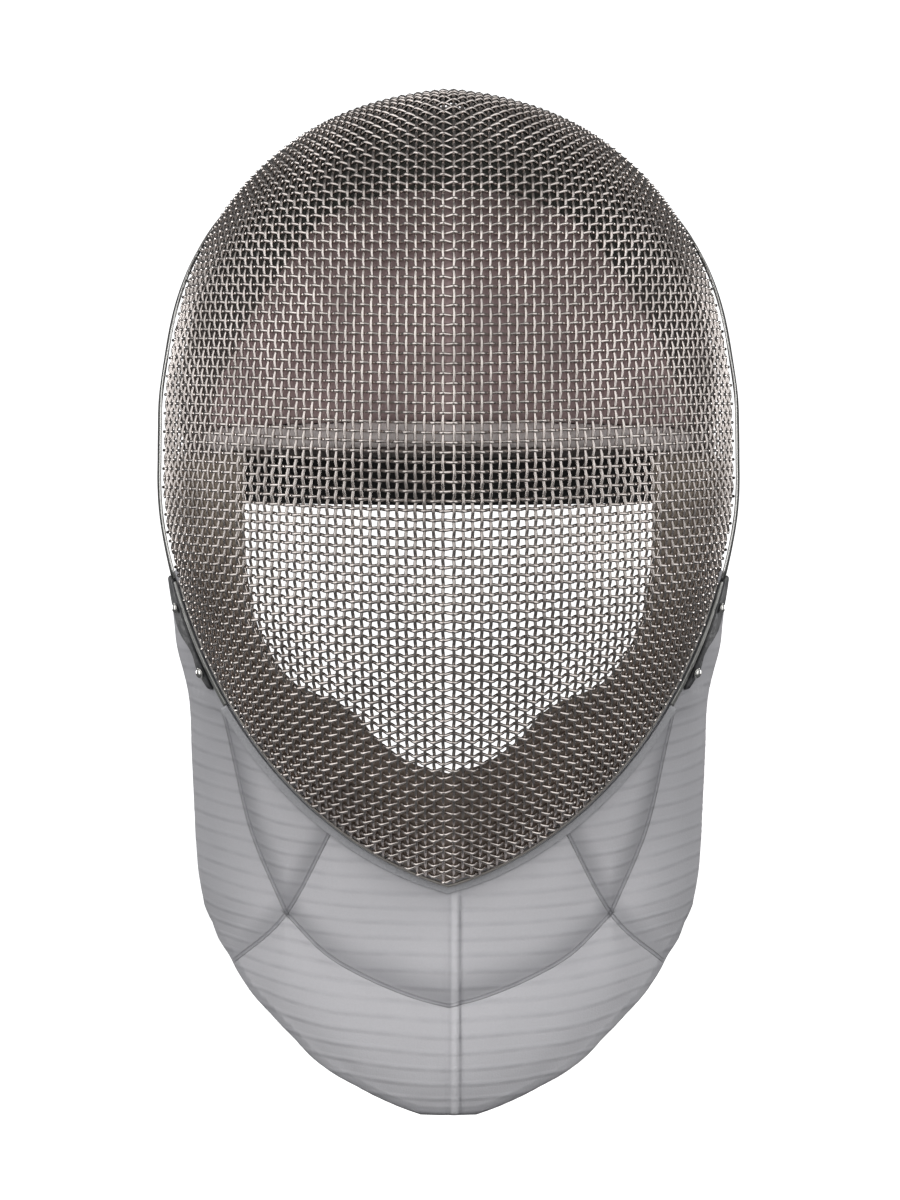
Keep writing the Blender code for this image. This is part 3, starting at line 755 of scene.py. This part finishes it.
step = np.linspace(0, 1, 81)[:, None]
window = spread(WINDOW_EDGE)
inner = front_coords(smooth(window, 1, step), smooth(window, 2, step))
outer = rim_coords(step * float(rim_place(WINDOW_EDGE[-1][1])))
share = np.linspace(0, LINING_REACH, 33)[None, :]
angle, lateral = blend(inner, outer, share)
inset = LINING_INSET + (LINING_EDGE_INSET - LINING_INSET) * share
front, back = (across_middle(part) for part in on_form(angle, lateral, inset, LINING_THICK))
# Painted light: the face lining is drawn a little lighter and warmer towards the chin.
lining_cover = cloth_finish("lining_cover", (0.50, 0.425, 0.35), (0.40, 0.335, 0.28), 1300.0,
                            low=((0.54, 0.43, 0.375), -0.120, -0.215))
lining = placed("face_lining_cloth", padded_sheet(front, back), lining_cover,
                "lining_cloth", "face_lining")


# ---- Strap ----------------------------------------------------------------------------------
# Wide black woven elastic that goes round the back of the head from one side of the mask to
# the other. It is ribbed along its length.

STRAP_HEIGHT, STRAP_TALL, STRAP_THICK = -101.0, 43.0, 2.0
STRAP_HALF_WIDTH, STRAP_FRONT, STRAP_BACK = 82.0, -26.0, 106.0
STRAP_RIBS, STRAP_RIB_RISE = 22, 0.14


def strap_profile():
    """Cross-section of ribbed elastic: thin strip whose two faces carry rounded ribs."""
    across = np.linspace(-1, 1, STRAP_RIBS * 4 + 1)
    round_edge = np.sqrt(np.clip(1 - np.abs(across) ** 40, 0, 1))
    rib = STRAP_RIB_RISE * (np.abs(np.sin(np.arange(len(across)) * math.pi / 4)) - 1)
    half = (STRAP_THICK / 2 + rib) * round_edge
    outer = list(zip(across * STRAP_TALL / 2, STRAP_THICK / 2 + half))
    inner = list(zip(across * STRAP_TALL / 2, STRAP_THICK / 2 - half))
    return outer + inner[-2:0:-1]


# Seen from above it is a rounded U, whose depth goes with cos(turn)^0.8.
turn = np.radians(np.linspace(-90, 90, 121))
x = STRAP_HALF_WIDTH * np.sin(turn)
y = STRAP_FRONT + (STRAP_BACK - STRAP_FRONT) * np.abs(np.cos(turn)) ** 0.8
points = np.stack([x, y, np.full_like(x, STRAP_HEIGHT)], axis=1)
normals = unit(np.cross(np.gradient(points, axis=0), (0, 0, 1)))
elastic = threaded_finish("strap_elastic", (0.006, 0.006, 0.006), (0.016, 0.015, 0.015), 30.0,
                          (1600.0, 1.0), 0.72, 0.2, 0.00025)
placed("back_strap_elastic", closed_rings(ribbon(points, normals, strap_profile())), elastic,
       "strap_elastic", "back_strap")


# ---- Bib ------------------------------------------------------------------------------------
# Pale grey striped cloth, padded and stitched through along curved seams, hangs from the lower
# rim round the throat. Its hem is rolled in with small tucks, and a raised seam runs down the
# middle. A tape covers its sewn edge along the rim, and a binding closes the gap to the mesh.

# height, half-width at its widest, depth of the widest place, degrees round to its hem
BIB_SECTIONS = (
    (-333.5, 66, 10, 8.4),
    (-330.5, 67, 10, 15.3),
    (-325, 69, 10, 25.5),
    (-317, 73, 10, 36.8),
    (-306, 77, 10, 45.9),
    (-291, 80.5, 10, 60.2),
    (-280, 82, 10, 69.7),
    (-272, 83.4, 10, 77.5),
    (-262, 85, 9, 91),
    (-245, 84.7, 8, 103),
    (-220, 86, 8, 113),
    (-190, 87.5, 8, 119),
    (-165, 93.2, 8, 117),
    (-147, 95.9, 8, 109),
)
BIB_REAR_DEPTH = 62.0
# Depth of the bib's front line below the chin: height, depth.
BIB_FRONT = (
    (-333.5, -21), (-320, -24), (-300, -25), (-286, -23), (-272, -18.8), (-262, -16.6),
    (-255.5, -16.4),
)
BIB_WALL = 3.0
BIB_SETBACK = 6.2
# Columns of the bib's grid in this share of its edges beside the middle, and in the rest.
MIDDLE_COLUMNS, MIDDLE_SHARE, SIDE_COLUMNS = 14, 9.0 / 235.0, 110
QUILT_DEPTH, QUILT_REACH = 3.0, 9.0
RIPPLE_DEPTH, RIPPLE_LENGTH, RIPPLE_REACH = 0.5, 33.0, 6.0
VALLEY_DEPTH, VALLEY_REACH = 4.6, 6.0
# Quilting seams on one half, seen from the front: half-width, height. Shade is painted on the cloth
# on the left of their direction, over a width beside the middle and one at the far end.
SEAMS = {
    "side_seam": (((56, -265), (66, -243), (71, -227), (77, -198)), 9.0, 9.0),
    "cheek_seam": (((40, -236), (56, -265), (73, -281)), 8.0, 8.0),
    "smile_seam": (((0, -295.5), (13, -292), (29, -285.5), (43, -277.5), (56, -265)), 17.0, 7.0),
}
SEAM_RUN_ON = 60.0
TAPE_WIDTH, TAPE_THICK, TAPE_LIFT, TAPE_NARROWEST = 3.6, 0.7, 0.9, 0.65
# The sewn edge is read a hair above each height, where it already has a direction.
JUST_ABOVE, CHIN_CROWDING = 1e-3, 1.4
BINDING_INSET, BINDING_BACK, BINDING_THICK = 1.6, 0.8, 1.4
# How far the binding's hind edge sinks into the bib's own edge.
BINDING_SUNK = 1.8
# Side tab: height and reach back from the rim, along the bib's surface.
TAB_ROWS = (
    (-188, 3.7), (-184, 5.2), (-180, 5.9), (-176, 5.0), (-173.5, 5.8), (-171, 8.2), (-167, 12),
    (-163, 13.2), (-157.5, 15), (-149, 18),
)
# The middle seam's fold: place to one side, width and rise. Beside it lie grooves, each with a
# depth, a place from the fold and a width.
SEAM_FOLD_SIDE, SEAM_FOLD_WIDTH, SEAM_FOLD_RISE = 2.1, 1.6, 1.1
GROOVES = ((0.9, 1.9, 0.6), (0.4, -2.6, 1.2))
TUCK_LENGTH, TUCK_DEPTH, TUCK_REACH = 13.0, 0.45, 7.0
CHIN_HEIGHT = float(mask_point(np.array(CHIN_ANGLE), 0.0)[2])
STRIPE_PITCH = 5.3
# The stripes hang lower in the middle, and more so below the smile seam: sag there and above
# it, heights between which it changes, and half-width that has the full sag.
LOW_SAG, HIGH_SAG, SAG_HEIGHTS, SAG_WIDTH = 9.0, 4.5, (-262.0, -292.0), 60.0
HEM_ROLL = 2.5
# Painted shade: the sides of the bib get darker between these distances from the middle.
SIDE_SHADE = (46.0, 84.0)


def bib_front(height):
    """Degrees round a bib section to its sewn edge, and the depth of the section's front."""
    rim = mask_point(*rim_coords(rim_place(np.maximum(height, CHIN_HEIGHT))))
    sine = np.where(height > CHIN_HEIGHT, rim[..., 0] / smooth(BIB_SECTIONS, 1, height), 0.0)
    cosine = np.sqrt(1 - sine**2)
    behind = smooth(BIB_SECTIONS, 2, height) * (1 - cosine)
    above = (rim[..., 1] + BIB_SETBACK - behind) / cosine
    below = smooth(BIB_FRONT, 1, np.minimum(height, CHIN_HEIGHT))
    return np.degrees(np.arcsin(sine)), np.where(height > CHIN_HEIGHT, above, below)


def bib_base(height, turn):
    """Bib before quilting: at each height an ellipse, x = half-width * sin(turn) and
    y = widest depth - depth * cos(turn), with its own depth ahead of and behind the widest."""
    height, turn = np.broadcast_arrays(np.asarray(height, float), np.asarray(turn, float))
    widest = smooth(BIB_SECTIONS, 2, height)
    cosine = np.cos(np.radians(turn))
    depth = np.where(cosine > 0, widest - bib_front(height)[1], BIB_REAR_DEPTH)
    x = smooth(BIB_SECTIONS, 1, height) * np.sin(np.radians(turn))
    return np.stack([x, widest - depth * cosine, height], axis=-1)


def bib_behind(height, reach):
    """Degrees round a bib section to a place some way back from its sewn edge."""
    first, front = bib_front(height)
    widest = smooth(BIB_SECTIONS, 2, height)
    ahead = (widest - front) * np.cos(np.radians(first)) - reach
    return np.degrees(np.arccos(ahead / np.where(ahead > 0, widest - front, BIB_REAR_DEPTH)))


def bib_path(heights, reach=0.0):
    """Points and outward normals on the unquilted bib, some way back from its sewn edge."""
    turn = bib_behind(heights, reach)
    return bib_base(heights, turn), outward(bib_base, heights, turn)


def curved(line, steps=8):
    """A line of corners with smooth rounding between them, at equal shares of its corners."""
    rows = [(k, *corner) for k, corner in enumerate(line)]
    where = np.linspace(0, len(line) - 1, (len(line) - 1) * steps + 1)
    return list(zip(smooth(rows, 1, where), smooth(rows, 2, where)))


def seam_offset(x, height, corners):
    """Distance from a seam seen from the front, below 0 on the right of its direction, and how
    far past its two ends a place lies. Both ends are run on straight."""
    line = np.array(curved(corners))
    ends = line[[0, -1]] + (line[[0, -1]] - line[[1, -2]]) * SEAM_RUN_ON
    line = np.concatenate([ends[:1], line, ends[1:]])
    start, way = line[:-1], np.diff(line, axis=0)
    length = np.linalg.norm(way, axis=1)
    from_start = np.stack([x, height], axis=-1)[..., None, :] - start
    share = np.clip((from_start * way).sum(-1) / length**2, 0, 1)
    away = from_start - way * share[..., None]
    left = np.sign(way[:, 0] * away[..., 1] - way[:, 1] * away[..., 0])
    offset = np.linalg.norm(away, axis=-1) * left
    past = np.zeros(share.shape)
    past[..., 0], past[..., -1] = (1 - share[..., 0]) * length[0], share[..., -1] * length[-1]
    nearest = np.abs(offset).argmin(axis=-1)[..., None]
    return [np.take_along_axis(part, nearest, -1)[..., 0] for part in (offset, past)]


def edge_distance(points, edge):
    """Distance from points to the nearest of the points along an edge."""
    return np.linalg.norm(points[..., None, :] - edge, axis=-1).min(axis=-1)


def along_edge(height, turn):
    """Height and turn at equal steps along an edge of the bib, closer together in the middle."""
    run = run_along(bib_base(height, turn))
    near = MIDDLE_SHARE * run[-1]
    marks = np.concatenate([np.linspace(0, near, MIDDLE_COLUMNS)[:-1],
                            np.linspace(near, run[-1], SIDE_COLUMNS)])
    return np.interp(marks, run, height), np.interp(marks, run, turn)


def bib_grid():
    """Heights and turns of the half bib in columns from its sewn edge to its hem, and of the two
    edges alone."""
    bottom, top = BIB_SECTIONS[0][0], BIB_SECTIONS[-1][0]
    rising = np.linspace(CHIN_HEIGHT, top, 400)
    sewn = along_edge(rising, bib_front(rising)[0])
    flat = np.linspace(0, BIB_SECTIONS[0][3], 30)
    rising = np.linspace(bottom, top, 600)[1:]
    hem = along_edge(np.concatenate([np.full(30, bottom), rising]),
                     np.concatenate([flat, smooth(BIB_SECTIONS, 3, rising)]))
    return blend(sewn, hem, np.linspace(0, 1, 64)[:, None]), sewn, hem


def quilted(height, turn, sewn, hem):
    """Height of the quilting above the base. It rises from the edges as 1 - exp(-(d / reach)^2)
    and falls to each seam as exp(-(d / reach)^1.15), with small tucks at the hem and soft
    ripples. Each seam's offset and the distance to the hem are handed back with it."""
    base = bib_base(height, turn)
    x = base[..., 0]
    to_hem = edge_distance(base, bib_base(*hem)[::2])
    to_sewn = edge_distance(base, bib_base(*sewn)[::2])
    under_tab = np.where(height > TAB_ROWS[0][0], smooth(TAB_ROWS, 1, height), 0.0)
    seams = {name: seam_offset(x, height, seam[0]) for name, seam in SEAMS.items()}
    to_seam = np.min([np.hypot(*seam) for seam in seams.values()], axis=0)
    # The seams stay in front of the throat's widest place.
    to_seam = np.where(turn < 90, to_seam, 1e3)
    from_top = BIB_SECTIONS[-1][0] - height
    edge = np.minimum.reduce([to_hem, from_top, np.maximum(to_sewn - under_tab, 0)])
    full = 1 - np.exp(-((edge / QUILT_REACH) ** 2))
    valley = np.exp(-((to_seam / VALLEY_REACH) ** 1.15)) * VALLEY_DEPTH
    run = run_along(bib_base(*hem)) * math.tau / TUCK_LENGTH
    tucks = (np.sin(run + 0.4) + np.sin(run * 0.62 + 1.3)) * np.exp(-((to_hem / TUCK_REACH) ** 2))
    soft = ripples(x * 1.4, height, RIPPLE_LENGTH) * RIPPLE_DEPTH * full
    soft = soft * (1 - np.exp(-((to_seam / RIPPLE_REACH) ** 2)))
    lift = (QUILT_DEPTH - valley) * full + soft + tucks * TUCK_DEPTH / 2
    return base, lift, seams, to_hem


def bib_cloth_finish():
    """Pale grey cloth with thin darker stripes woven across, a fine twill and soft soiling. Shade
    is painted into its colour on one side of each seam and in its crease, round the rolled hem, in
    the groove beside the middle fold and towards its sides."""
    cloth = Finish("bib_cloth")
    wobble = cloth.noise(22.0, 2.0)
    rows = cloth.node("ShaderNodeUVMap", {"uv_map": "stripe_rows"})
    phase = cloth.part(rows, 1) + wobble * 0.35
    cycle = cloth.node("ShaderNodeMath", {"operation": "FRACT"}, {0: phase})
    off_line = cloth.node("ShaderNodeMath", {"operation": "ABSOLUTE"}, {0: cycle - 0.5})
    broken = cloth.stretched(cloth.noise(110.0), 0.25, 0.65)
    stripe = cloth.softly(off_line, 0.26, 0.0) * (0.30 + 0.70 * broken)
    grain = cloth.noise(1700.0, 2.0)
    soil = cloth.stretched(cloth.noise(16.0), 0.4, 0.75)
    plain = cloth.between(soil, (0.525, 0.517, 0.537), (0.465, 0.46, 0.48))
    fine = cloth.between(grain * 0.35, plain, (0.38, 0.38, 0.395))
    colour = cloth.between(stripe * 0.26, fine, (0.30, 0.30, 0.32))
    height = grain * 0.3 - stripe
    for name in SEAMS:
        seam = cloth.node("ShaderNodeAttribute", {"attribute_name": name}, output=1)
        offset, past, share = [cloth.part(seam, k) for k in range(3)]
        reached = cloth.softly(past, 3.0, 0.0)
        # Painted shade: a thin dark line in each seam's crease, which also cuts a groove into the
        # bump, and a band on one side of the seam that fades over its width.
        seam_crease = cloth.softly(offset * offset, 0.6, 0.0) * reached
        shaded = cloth.softly(share, 1.0, 0.0) * cloth.softly(offset, -0.5, 0.2) * reached
        colour = cloth.between(shaded * 0.46 + seam_crease * 0.25, colour, (0.19, 0.19, 0.205))
        height = height - seam_crease * 3.0
    to_hem = cloth.node("ShaderNodeAttribute", {"attribute_name": "to_hem"}, output=2)
    # Painted shade: a broken dark band just inside the rolled hem.
    rolled = cloth.softly((to_hem - HEM_ROLL) ** 2.0, 3.0, 0.0) * cloth.stretched(wobble, 0.3, 0.6)
    colour = cloth.between(rolled * 0.45, colour, (0.19, 0.19, 0.205))
    x = cloth.part(cloth.where, 0) * 1000.0
    # Painted shade towards the bib's sides.
    sides = cloth.softly(x * x, *(away**2 for away in SIDE_SHADE))
    colour = cloth.between(sides * 0.42, colour, (0.27, 0.27, 0.285))
    ridge = cloth.softly((x - SEAM_FOLD_SIDE) ** 2.0, SEAM_FOLD_WIDTH**2, 0.5)
    # Painted shade in the groove beside the middle fold, broken up by noise.
    groove = cloth.softly((x - SEAM_FOLD_SIDE - GROOVES[0][1]) ** 2.0, 0.30, 0.0) * broken
    colour = cloth.between(ridge * 0.5, colour, (0.62, 0.615, 0.635))
    colour = cloth.between(groove * 0.6, colour, (0.20, 0.20, 0.215))
    return cloth.done(Base_Color=colour, Roughness=0.82 + grain * 0.12,
                      Normal=cloth.bump(height, 0.00025))


(height, turn), sewn, hem = bib_grid()
base, lift, seams, to_hem = quilted(height, turn, sewn, hem)
normal = outward(bib_base, height, np.maximum(turn, 0.01))
normal[:, 0, 0] = 0.0
half_front, half_back = base + normal * lift[..., None], base - normal * BIB_WALL
half_front[:, 0, 0] = half_back[:, 0, 0] = 0.0


def whole(half, flip=MIRROR):
    """Grid of both halves: the mirrored left columns, then the right ones from the middle."""
    return np.concatenate([half[:, :0:-1] * flip, half], axis=1)


bib_front_side, bib_back_side = whole(half_front), whole(half_back)
below_chin = ramp(bib_front_side[..., 2], CHIN_HEIGHT - 1, CHIN_HEIGHT - 5)
beside = bib_front_side[..., 0] - SEAM_FOLD_SIDE
fold = SEAM_FOLD_RISE * np.exp(-((beside / SEAM_FOLD_WIDTH) ** 4))
for depth, place, width in GROOVES:
    fold = fold - depth * np.exp(-(((beside - place) / width) ** 2))
bib_front_side[..., 1] -= fold * below_chin
mesh = padded_sheet(bib_front_side, bib_back_side)
low = ramp(height, *SAG_HEIGHTS)
out = base[..., 0] / SAG_WIDTH
sag = out**3 * HIGH_SAG * (1 - low) + out**2 * LOW_SAG * low
rows_up = (height - sag + ripples(base[..., 0], height, 60.0)) / STRIPE_PITCH


def per_vertex(half):
    """Values of a half grid for each vertex of the bib: the whole front, then the back."""
    grid = whole(half, 1.0)
    return np.concatenate([grid.ravel(), grid[1:-1, 1:-1].ravel()])


for name, (corners, width_near, width_far) in SEAMS.items():
    offset, past = seams[name]
    width = width_near + (width_far - width_near) * ramp(base[..., 0], 0, 56)
    values = np.stack([per_vertex(part) for part in (offset, past, offset / width)], axis=-1)
    mesh.attributes.new(name, "FLOAT_VECTOR", "POINT").data.foreach_set("vector", values.ravel())
mesh.attributes.new("to_hem", "FLOAT", "POINT").data.foreach_set("value", per_vertex(to_hem))
corner_vertex = np.empty(len(mesh.loops), np.int32)
mesh.loops.foreach_get("vertex_index", corner_vertex)
stripe_uv = np.stack([per_vertex(base[..., 0] / STRIPE_PITCH), per_vertex(rows_up)], axis=-1)
stripe_rows = mesh.uv_layers.new(name="stripe_rows")
stripe_rows.data.foreach_set("uv", stripe_uv[corner_vertex].ravel())
bib = placed("quilted_bib", mesh, bib_cloth_finish(), "bib_cloth", "bib")


def from_chin(top):
    """Heights from the chin up to a top, closer together at the chin."""
    return CHIN_HEIGHT + (top - CHIN_HEIGHT) * np.linspace(0, 1, 90) ** CHIN_CROWDING


points, normals = bib_path(from_chin(TAB_STRIP_BOTTOM) + JUST_ABOVE)
points[0, 0] = 0.0
normals[0] = (0, -1, 0)
points, normals = across_middle(points), across_middle(normals)
# The tape gets narrower towards the chin.
narrow = TAPE_NARROWEST + (1 - TAPE_NARROWEST) * np.abs(np.linspace(-1, 1, len(points)))[:, None]
tape = rounded_profile(-TAPE_WIDTH, -GAP, TAPE_LIFT, TAPE_LIFT + TAPE_THICK, SMALL_ROUNDING)
tape_cloth = cloth_finish("tape_cloth", (0.50, 0.50, 0.52), (0.43, 0.43, 0.45), 1500.0)
placed("bib_edge_tape", closed_rings(ribbon(points, normals, tape, narrow)), tape_cloth,
       "tape_cloth", "bib_tape")

# The tape turns in under the cut edge of the woven face and closes the gap behind it.
heights = from_chin(TAB_STRIP_TOP)
fore = mask_point(*rim_coords(rim_place(heights)), BINDING_INSET) + (0.0, BINDING_BACK, 0.0)
aft = bib_path(heights + JUST_ABOVE)[0] + (0.0, BINDING_BACK, -BINDING_SUNK)
outer_side = fore + (aft - fore) * np.linspace(1, 0, 5)[:, None, None]
inward = unit(-np.cross(np.gradient(fore, axis=0), fore - aft))
inner_side = outer_side + inward * BINDING_THICK
outer_side[:, 0, 0] = inner_side[:, 0, 0] = 0.0
binding = placed("bib_edge_binding", padded_sheet(whole(outer_side), whole(inner_side), 2, 1),
                 tape_cloth, "tape_cloth", "bib_tape")


# ---- Side tabs ------------------------------------------------------------------------------
# At each temple a dark moulded tab lies on the bib behind the rim, with a grey steel strip over
# its front edge. Two domed steel rivets go through both into the rim.

TAB_FRONT, TAB_LIFT, TAB_THICK = 2.4, 0.5, 1.4
TAB_STRIP_WIDTH, TAB_STRIP_THICK, TAB_STRIP_BACK = 1.9, 1.0, 0.1
RIVET_HEIGHTS = (-160.0, -182.0)
RIVET_BACK = (4.7, 3.6)
RIVET_RADIUS, RIVET_TALL, RIVET_LIFT = 1.9, 1.3, 0.5


def tab_finish():
    """Charcoal moulded tab, half gloss, with fine scuffs."""
    plastic = Finish("tab_plastic")
    scuffs = plastic.stretched(plastic.noise(260.0, 6.0), 0.5, 0.75)
    colour = plastic.between(scuffs, (0.022, 0.022, 0.024), (0.075, 0.074, 0.076))
    return plastic.done(Base_Color=colour, Roughness=0.32 + scuffs * 0.3,
                        Normal=plastic.bump(scuffs, 0.0001))


def rivet_rings(base, out):
    """Domed head on a thin collar: rings of a turned profile about the direction out."""
    side = unit(np.cross(out, (0.0, 0.0, 1.0)))
    up = np.cross(side, out)
    arc = np.radians(np.linspace(0, 84, 9))
    radii = np.concatenate([[0.94, 1.0, 1.0, 0.90], 0.90 * np.cos(arc)]) * RIVET_RADIUS
    tall = np.concatenate([[0.0, 0.06, 0.18, 0.24], 0.24 + 0.76 * np.sin(arc)]) * RIVET_TALL
    turn = np.arange(32) * math.tau / 32
    ring = side * np.cos(turn)[:, None] + up * np.sin(turn)[:, None]
    return base + out * tall[:, None, None] + ring[None] * radii[:, None, None]


heights = np.linspace(TAB_ROWS[0][0], TAB_ROWS[-1][0], 61)
reach = smooth(TAB_ROWS, 1, heights)
across = np.linspace(0, 1, 41)
columns = [bib_path(heights, TAB_FRONT + (reach - TAB_FRONT) * share) for share in across]
outer = TAB_LIFT + TAB_THICK
tab_front = np.stack([points + out * outer for points, out in columns], axis=1)
tab_back = np.stack([points + out * TAB_LIFT for points, out in columns], axis=1)
strip_points, strip_out = bib_path(np.linspace(TAB_STRIP_BOTTOM, TAB_STRIP_TOP, 60))
strip_profile = rounded_profile(-TAB_STRIP_BACK - TAB_STRIP_WIDTH, -TAB_STRIP_BACK,
                                TAB_LIFT, TAB_LIFT + TAB_STRIP_THICK, 0.4)
rivet_points, rivet_out = bib_path(np.array(RIVET_HEIGHTS), np.array(RIVET_BACK))
tab_plastic = tab_finish()
strip_steel = dulled_steel("tab_strip_steel", (0.42, 0.42, 0.40), (0.22, 0.22, 0.21), 150.0,
                           0.30, 0.3, 0.9)
rivet_steel = dulled_steel("rivet_steel", (0.86, 0.85, 0.82), (0.58, 0.57, 0.54), 400.0, 0.10, 0.18)
for side, word in ((1, "left"), (-1, "right")):
    flip = np.array((side, 1.0, 1.0))
    # Turned round on the mirrored side, the grids keep their faces outwards.
    tab = padded_sheet((tab_front * flip)[::side], (tab_back * flip)[::side])
    placed("tab_plate_" + word, tab, tab_plastic, "tab_plastic", "side_tab_" + word)
    profile = [(across * side, up) for across, up in strip_profile]
    strip = closed_rings(ribbon(strip_points * flip, strip_out * flip, profile))
    placed("tab_steel_strip_" + word, strip, strip_steel, "strip_steel", "tab_strip_" + word)
    for number, (point, out) in enumerate(zip(rivet_points * flip, rivet_out * flip), 1):
        head = closed_rings(rivet_rings(point + out * (outer + RIVET_LIFT), out))
        placed(f"rivet_head_{word}_{number}", head, rivet_steel, "rivet_steel",
               f"rivet_{word}_{number}")


# ---- Studio ---------------------------------------------------------------------------------
# Plain pale floor that sweeps up into a wall all round, two tall soft lights at the sides, a
# broad one in front, weak ones behind and above, and a level camera straight in front.

CAMERA_BACK, CAMERA_HEIGHT = 1.412, -0.158
PHOTO_WIDTH, PHOTO_HEIGHT = 900, 1200
FOCAL_PIXELS = 4086.0
CENTRE_X, CENTRE_Y = 448.5, 601.0
FLOOR_HEIGHT, FLOOR_RADIUS, SWEEP_RADIUS, WALL_HEIGHT = -420.0, 2000.0, 1200.0, 4000.0
FLOOR_SIDES = 64
AIR_COLOUR, AIR_STRENGTH = (0.9, 0.92, 0.95, 1.0), 0.12
FACE_CENTRE = (0.0, -0.03, -0.14)
# Place, width and height in metres, watts.
SOFT_LIGHTS = {
    "left_box": ((-1.35, -1.40, 0.30), (2.05, 3.5), 33.0),
    "right_box": ((1.35, -1.40, 0.30), (2.05, 3.5), 28.0),
    "front_box": ((0.0, -2.45, 0.75), (3.0, 2.0), 13.0),
    "back_left_box": ((-1.5, 1.0, 0.0), (0.9, 1.0), 10.0),
    "back_right_box": ((1.5, 1.0, 0.0), (0.9, 1.0), 10.0),
    "top_box": ((0.0, -0.9, 1.2), (2.0, 1.2), 2.0),
}

camera_data = bpy.data.cameras.new("camera")
camera_data.lens = FOCAL_PIXELS / PHOTO_HEIGHT * camera_data.sensor_width
camera_data.shift_x = (PHOTO_WIDTH / 2 - CENTRE_X) / PHOTO_HEIGHT
camera_data.shift_y = (CENTRE_Y - PHOTO_HEIGHT / 2) / PHOTO_HEIGHT
camera = in_scene("camera", camera_data)
camera.location = (0.0, -CAMERA_BACK, CAMERA_HEIGHT)
camera.rotation_euler = (math.radians(90), 0.0, 0.0)
bpy.context.scene.camera = camera


def studio_sweep():
    """Pale floor turned about the upright axis: flat, then a quarter circle up into a wall."""
    arc = np.radians(np.linspace(0, 90, 13))
    wall = FLOOR_RADIUS + SWEEP_RADIUS
    radius = np.concatenate([[10.0, FLOOR_RADIUS / 2, FLOOR_RADIUS],
                             FLOOR_RADIUS + SWEEP_RADIUS * np.sin(arc), [wall]])
    height = np.concatenate([[0, 0, 0], SWEEP_RADIUS * (1 - np.cos(arc)), [WALL_HEIGHT]])
    turn = np.arange(FLOOR_SIDES) * math.tau / FLOOR_SIDES
    x, y = radius[:, None] * np.cos(turn), radius[:, None] * np.sin(turn)
    points = np.stack([x, y, np.broadcast_to(height[:, None] + FLOOR_HEIGHT, x.shape)], axis=-1)
    index = np.arange(x.size).reshape(x.shape)
    right = np.roll(index, -1, axis=1)
    quads = np.stack([index[:-1], index[1:], right[1:], right[:-1]], axis=-1)
    return smooth_mesh(points.reshape(-1, 3), [*quads.reshape(-1, 4).tolist(), index[0].tolist()])


paper = Finish("studio_paper")
paper_tone = paper.between(paper.noise(3.0), (0.86, 0.86, 0.86), (0.84, 0.84, 0.84))
floor = in_scene("studio_floor", studio_sweep())
floor.data.materials.append(paper.done(Base_Color=paper_tone, Roughness=0.9,
                                       Emission_Color=(1.0, 1.0, 1.0), Emission_Strength=1.0))
floor.visible_glossy = floor.visible_diffuse = floor.visible_shadow = False

for name, (place, size, power) in SOFT_LIGHTS.items():
    data = bpy.data.lights.new(name, "AREA")
    data.shape = "RECTANGLE"
    data.size, data.size_y = size
    data.energy = power
    light = in_scene(name, data)
    light.location = place
    way = Vector(FACE_CENTRE) - Vector(place)
    light.rotation_euler = way.to_track_quat("-Z", "Y").to_euler()

world = bpy.data.worlds.new("studio_air")
world.use_nodes = True
air = world.node_tree.nodes["Background"].inputs
air["Color"].default_value, air["Strength"].default_value = AIR_COLOUR, AIR_STRENGTH
bpy.context.scene.world = world
bpy.context.scene.view_settings.view_transform = "Standard"
